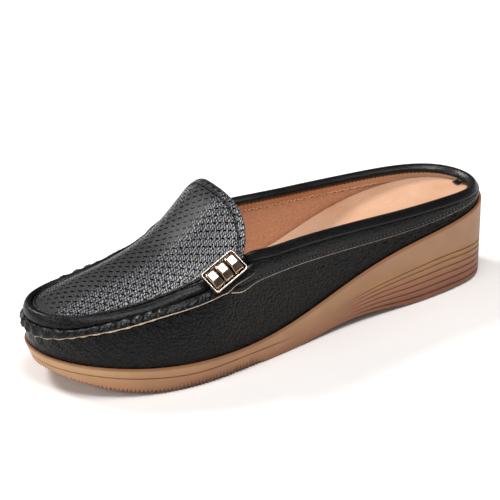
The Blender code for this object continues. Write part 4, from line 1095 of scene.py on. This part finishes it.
def make_apron_band():
    """Columns up the slope to the bead, raised by round lumps at the toe and by slanted folds behind, both
    waves along the strip that slower waves make uneven; its rear corner is rounded."""
    half = np.linspace(angle_of(TAB_SHOWN_SHARE), math.pi, 440)
    angles = both_sides(half)
    share = share_of(angles)
    top = slope_length(angles) - SEAM_WALL_SIDE - GAP
    part = np.array([0.0, 0.06, 0.13, 0.21, 0.3, 0.4, 0.5, 0.6, 0.7, 0.8, 0.9, 1.0])
    corner = np.clip((TAB_CORNER_SHARE - share) / (TAB_CORNER_SHARE - TAB_SHOWN_SHARE), 0.0, 1.0)
    start = TAB_CORNER_RISE * corner ** 1.1
    distance = start[:, None] + (top - start)[:, None] * part[None]
    over_collar = 1.0 - smooth_step(COLLAR_BAND_END_SHARE + 0.002, COLLAR_BAND_END_SHARE + 0.022, share)
    base = (1.3 * GAP + (COLLAR_BAND_THICKNESS + GAP) * over_collar)[:, None]
    inner, normals = wall(angles[:, None], level_above_edge(angles[:, None], distance), base)
    travel = travel_of(inner[:, 6])
    travel = (travel - travel[len(half) - 1])[:, None]
    toe = smooth_step(0.74, 0.90, share)[:, None]
    run = travel + 0.0009 * np.sin(TURN * travel / 0.031)
    wave = 0.5 + 0.5 * np.cos(TURN * run / GATHER_PITCH)
    swell = np.sin(math.pi * part ** 0.75)[None]
    crinkle = np.sin(TURN * (travel + 0.9 * distance) / (0.29 * GATHER_PITCH))
    lumps = GATHER_RISE * toe * (wave ** 1.2 * (0.2 + 0.8 * swell) + 0.2 * crinkle * wave * swell)
    slant = np.mod((run + 1.2 * distance) / FOLD_PITCH + 0.3 * np.sin(TURN * travel / 0.0113), 1.0)
    folds = FOLD_RISE * np.sin(math.pi * slant ** 0.6) * np.sin(math.pi * part[None] ** 0.7)
    folds = folds * (0.65 + 0.35 * np.sin(TURN * travel / 0.0179)) * smooth_step(0.665, 0.70, share)[:, None]
    rise = BAND_THICKNESS * (0.7 + 0.3 * np.sqrt(np.clip((distance - start[:, None]) / 0.0006, 0.0, 1.0)))
    sink = 0.45 * BAND_THICKNESS * smooth_step(0.8, 1.0, part)[None]
    outer = inner + normals * (rise + lumps + folds * (1.0 - 0.7 * toe) - sink)[..., None]
    outer[:, 0, 2] -= 0.0004 * (toe * wave)[:, 0]
    shades = [bpy.data.materials[name] for name in ("tumbled_strip_leather", "raw_cut_edge")]
    band = slab(outer, inner, 1).piece("gathered_strip", shades, sharp=50.0)
    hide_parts("apron_band")


make_apron_band()

# Apron bead
# The plug's edge and the vamp's, in the same black leather, are sewn face to face and turned over a
# cord, which gives a round smooth bead along the top of the apron strip.


def crown_span(angles):
    """Straight way from the rim to the crest at each angle."""
    return np.linalg.norm(crown(angles, 1.0)[0] - wall(angles, 1.0)[0], axis=1)


def make_bead():
    """Five points over the rim at each station, joined by a smooth curve and carried round the toe."""
    angles = both_sides(np.linspace(angle_of(SEAM_START_SHARE), math.pi, 260))
    far = SEAM_CROWN_SIDE / crown_span(angles)
    near_level = level_below_rim(angles, 0.55 * SEAM_WALL_SIDE)
    far_level = level_below_rim(angles, SEAM_WALL_SIDE)
    faces = [fold_through([
        crown(angles, far, 1.4 * GAP + 0.25 * height)[0],
        crown(angles, 0.6 * far, 1.4 * GAP + 0.82 * height)[0],
        rim_corner(angles, GAP + height),
        wall(angles, near_level, GAP + 0.86 * height)[0],
        wall(angles, far_level, GAP + 0.30 * height)[0]], 19) for height in (SEAM_HEIGHT, 0.4 * GAP)]
    smooth = black_leather("rolled_bead_leather", 0.8, 0.3, 0.38, "#08080A", 0.34, 0.15)
    bead = slab(*faces).piece("rolled_bead", [smooth], sharp=60.0)
    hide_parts("apron_seam")


make_bead()

# Plug fold
# Beside the bead the plug's own leather is drawn up by the seam: a narrow smooth fold that runs
# along the dark gap.
FOLD_AWAY = 0.0021
FOLD_WIDTH = 0.0015
FOLD_HEIGHT = 0.0006


def make_plug_fold():
    """A low half-round strip on the crown at a set way from the rim, carried round the toe."""
    angles = both_sides(np.linspace(angle_of(SEAM_START_SHARE + 0.01), math.pi, 260))
    part = np.linspace(0.0, 1.0, 9)
    reach = (FOLD_AWAY + FOLD_WIDTH * part) / crown_span(angles)[:, None]
    height = FOLD_HEIGHT * np.sin(math.pi * part) ** 0.6
    outer, _ = crown(angles[:, None], reach, 0.00004 + height)
    inner, _ = crown(angles[:, None], reach, 0.00002)
    # Its black, paler than the other black leathers, is partly painted highlight for the light line along
    # the fold's crest
    drawn = black_leather("drawn_plug_leather", 0.7, 0.5, 0.36, "#141416", 0.8, 0.08)
    fold = slab(outer, inner).piece("plug_fold", [drawn], sharp=60.0)


make_plug_fold()

# Throat stitches
# One row of waxed black thread holds the plug's turned edge down along the throat, sunk in its own
# groove.
HEM_THREAD = 0.00045
HEM_STITCH = 0.0020


def make_throat_stitches():
    """A path over the plug a hem's width from the throat, from one side to the other."""
    angle = float(angle_of(THROAT_SHARE + (HEM_WIDTH + 0.0002) / SOLE_LENGTH))
    reach = np.linspace(0.04, 1.0, 200)
    near, far = crown(angle, reach, -0.0002), crown(TURN - angle, reach, -0.0002)
    path, normals = (np.concatenate([one, other[-2::-1]]) for one, other in zip(near, far))
    stitch_row("throat_stitches", path, normals, STITCH_PITCH, HEM_STITCH, HEM_THREAD,
               bonded_thread("waxed_black_thread", "#020202", "#060606", 0.7))


make_throat_stitches()

# Buckle
# A die-cast ornament in pale gold plate: a rounded rail frame with three domed blocks in a row,
# pinned through the outer tab.
BUCKLE_LENGTH = 0.0206
BUCKLE_WIDTH = 0.0124
BUCKLE_RAIL = 0.0009
BUCKLE_INSIDE_GAP = 0.0007
BUCKLE_CORNER = 0.0018
BUCKLE_HEIGHT = 0.0018
BLOCK_COUNT = 3
BLOCK_GAP = 0.0010
BLOCK_HEIGHT = 0.0028
BUCKLE_TILT = math.radians(5.0)
BUCKLE_SHARE = 0.661
BUCKLE_LEVEL = 0.97

# Rows: way across a block from -1 to 1, share of its height there
BLOCK_FACETS = ((-1.0, -0.86, -0.72, 0.08, 0.22, 0.86, 1.0), (0.52, 0.86, 0.93, 1.0, 0.95, 0.52, 0.2))


def gold_plate(name, deep, bright):
    """Pale gold plate: a mirror finish that faint polishing waves tint from a deep to a bright gold."""
    shade, shader = surface(name, 0.09, metallic=1.0)
    point = place_of(shade)
    wave = add(shade, "TexNoise", point, Scale=0.35, Detail=2.0)
    fine = add(shade, "TexNoise", point, Scale=2.5, Detail=3.0)
    fill(shader, Base_Color=add(shade, "ValToRGB", wave, stops=((0.3, deep), (0.7, bright))),
         Roughness=add(shade, "MapRange", fine, 0.0, 1.0, 0.1, 0.18),
         Normal=add(shade, "Bump", Height=fine, Strength=0.1, Distance=0.00004))
    return shade


def buckle_axes():
    """Middle of the buckle's seat, and its long, side and upward directions on the tab."""
    angle = float(angle_of(BUCKLE_SHARE))
    seat, wall_normal = wall(angle, BUCKLE_LEVEL)
    _, crown_normal = crown(angle, 0.05)
    up = wall_normal + crown_normal
    up /= np.linalg.norm(up)
    behind, _ = wall(float(angle_of(BUCKLE_SHARE - 0.03)), 1.0)
    ahead, _ = wall(float(angle_of(BUCKLE_SHARE + 0.03)), 1.0)
    along = behind - ahead
    along -= up * (along @ up)
    along /= np.linalg.norm(along)
    side = np.cross(along, up)
    along = along * math.cos(BUCKLE_TILT) - side * math.sin(BUCKLE_TILT)
    axes = np.array([along, np.cross(along, up), up])
    corners = np.array([corner.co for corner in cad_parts["buckle_frame"].data.vertices])
    return seat, axes, ((corners - seat) @ axes.T)[:, 2].min()


def rounded_loop(half_length, half_width, radius):
    """A rectangle with round corners, ten points to a corner, closed by its first point."""
    turn = np.linspace(0.0, 0.5 * math.pi, 10)
    parts = []
    for quarter, (side_x, side_y) in enumerate(((1, 1), (-1, 1), (-1, -1), (1, -1))):
        angle = turn + quarter * 0.5 * math.pi
        x = side_x * (half_length - radius) + radius * np.cos(angle)
        y = side_y * (half_width - radius) + radius * np.sin(angle)
        parts.append(np.stack([x, y], axis=1))
    loop = np.concatenate(parts)
    return np.concatenate([loop, loop[:1]])


def make_buckle():
    """A half-round rail carried round a rounded rectangle, and a row of domed blocks inside it, each
    face a straight-sided outline across times a soft round along."""
    seat, axes, low = buckle_axes()
    rows = []
    for angle in np.linspace(0.0, math.pi, 15):
        inward = BUCKLE_RAIL * (0.5 - 0.5 * math.cos(angle))
        loop = rounded_loop(
            0.5 * BUCKLE_LENGTH - inward, 0.5 * BUCKLE_WIDTH - inward, BUCKLE_CORNER - 0.9 * inward)
        rows.append(np.column_stack([loop, np.full(len(loop), BUCKLE_HEIGHT * math.sin(angle) ** 0.7)]))
    rows.append(rows[0])
    skin = Skin()
    skin.grid(seat + (np.stack(rows) + [0.0, 0.0, low]) @ axes)
    # One gold in two copies: the blocks' plate is painted darker to deepen their reflections, the rail's
    # painted brighter as a painted highlight
    shade = gold_plate("polished_gold_plate", "#A08A78", "#C6B09C")
    rail = skin.piece("gold_rail", [gold_plate("polished_gold_rail", "#D6C6B4", "#F2E8DC")], sharp=70.0)
    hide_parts("buckle_frame")
    inner_length, inner_width = (
        size - 2.0 * (BUCKLE_RAIL + BUCKLE_INSIDE_GAP) for size in (BUCKLE_LENGTH, BUCKLE_WIDTH))
    length = (inner_length - (BLOCK_COUNT - 1) * BLOCK_GAP) / BLOCK_COUNT
    u = np.linspace(-1.0, 1.0, 25)[:, None]
    v = np.linspace(-1.0, 1.0, 41)[None]
    height = BLOCK_HEIGHT * ((1.0 - 0.22 * np.abs(u) ** 7) * np.interp(v, *BLOCK_FACETS))
    for index in range(BLOCK_COUNT):
        start = -0.5 * inner_length + index * (length + BLOCK_GAP)
        along = start + 0.5 * length * (1.0 + u * (1.0 - 0.03 * np.abs(v) ** 6))
        across = np.broadcast_to(0.5 * inner_width * v, along.shape)
        top, foot = (seat + np.stack([along, across, low + rise], axis=-1) @ axes
                     for rise in (height, 0.0 * height))
        block = slab(top, foot).piece("gold_block_%d" % (index + 1), [shade], sharp=50.0)
        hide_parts("buckle_block_%d" % (index + 1))


make_buckle()

# Camera
# A long lens on the shoe's outer side and a little ahead of it, looking down at it and rolled a
# little, as a product photographer would set it up.
LENS = 233.93
SENSOR_WIDTH = 36.0
TARGET = np.array([0.125, 0.0, 0.025]) + [HEEL_AT[0], HEEL_AT[1], 0.0]
AROUND = math.radians(29.98)
ABOVE = math.radians(25.42)
ROLL = math.radians(-1.772)
AWAY = 1.5869
SLIDE = (0.005463, -0.011664)


def make_camera():
    """Camera axes from the turn around, the height and the roll; its place slides along them."""
    level = math.cos(ABOVE)
    back = np.array([math.sin(AROUND) * level, math.cos(AROUND) * level, math.sin(ABOVE)])
    right = np.cross([0.0, 0.0, 1.0], back)
    right /= np.linalg.norm(right)
    up = np.cross(back, right)
    turned = np.array([
        math.cos(ROLL) * right + math.sin(ROLL) * up, -math.sin(ROLL) * right + math.cos(ROLL) * up, back])
    place = TARGET + turned.T @ np.array([-SLIDE[0], -SLIDE[1], AWAY])
    data = bpy.data.cameras.new("camera")
    data.lens = LENS
    data.sensor_width = SENSOR_WIDTH
    data.clip_start = 0.05
    data.clip_end = 50.0
    camera = bpy.data.objects.new("camera", data)
    camera.matrix_world = Matrix.Translation(Vector(place)) @ Matrix(turned.T.tolist()).to_4x4()
    bpy.context.scene.collection.objects.link(camera)
    bpy.context.scene.camera = camera


make_camera()

# Floor and light
# A flat sheet of white paper under four softboxes: a large one overhead, and smaller ones in front,
# beyond the toe and behind, in a dim even room.
PAPER_HALF = 4.0

# Columns: panel, place, edge length, power
PANELS = (
    ("top_panel", (-0.02, 0.5, 1.55), 0.9, 24.0), ("front_panel", (0.9, 1.5, 0.9), 0.5, 4.0),
    ("toe_panel", (1.6, 0.1, 0.8), 0.5, 9.0), ("back_panel", (0.6, -1.1, 1.2), 0.5, 25.0))


def make_studio():
    """One flat square of matt paper, four square panels aimed at the shoe, and a dim even surround."""
    shade, shader = surface("white_paper", 0.9, level=0.2)
    grain = add(shade, "TexNoise", place_of(shade), Scale=0.01, Detail=2.0)
    fill(shader, Base_Color=add(shade, "ValToRGB", grain, stops=((0.0, "#E9E6E4"), (1.0, "#F0EDEB"))))
    data = bpy.data.meshes.new("paper")
    corners = [(x * PAPER_HALF, y * PAPER_HALF, 0.0) for x, y in ((-1, -1), (1, -1), (1, 1), (-1, 1))]
    data.from_pydata(corners, [], [(0, 1, 2, 3)])
    data.materials.append(shade)
    floor = bpy.data.objects.new("paper", data)
    bpy.context.scene.collection.objects.link(floor)
    for name, place, size, power in PANELS:
        light = bpy.data.lights.new(name, "AREA")
        light.size = size
        light.energy = power
        lamp = bpy.data.objects.new(name, light)
        lamp.location = place
        aim = Vector((0.0, 0.0, 0.03)) - lamp.location
        lamp.rotation_euler = aim.to_track_quat("-Z", "Y").to_euler()
        bpy.context.scene.collection.objects.link(lamp)
    world = bpy.data.worlds.new("studio")
    world.use_nodes = True
    fill(world.node_tree.nodes["Background"], Color=(1.0, 0.99, 0.98, 1.0), Strength=0.15)
    bpy.context.scene.world = world
    bpy.context.scene.view_settings.view_transform = "Standard"


make_studio()
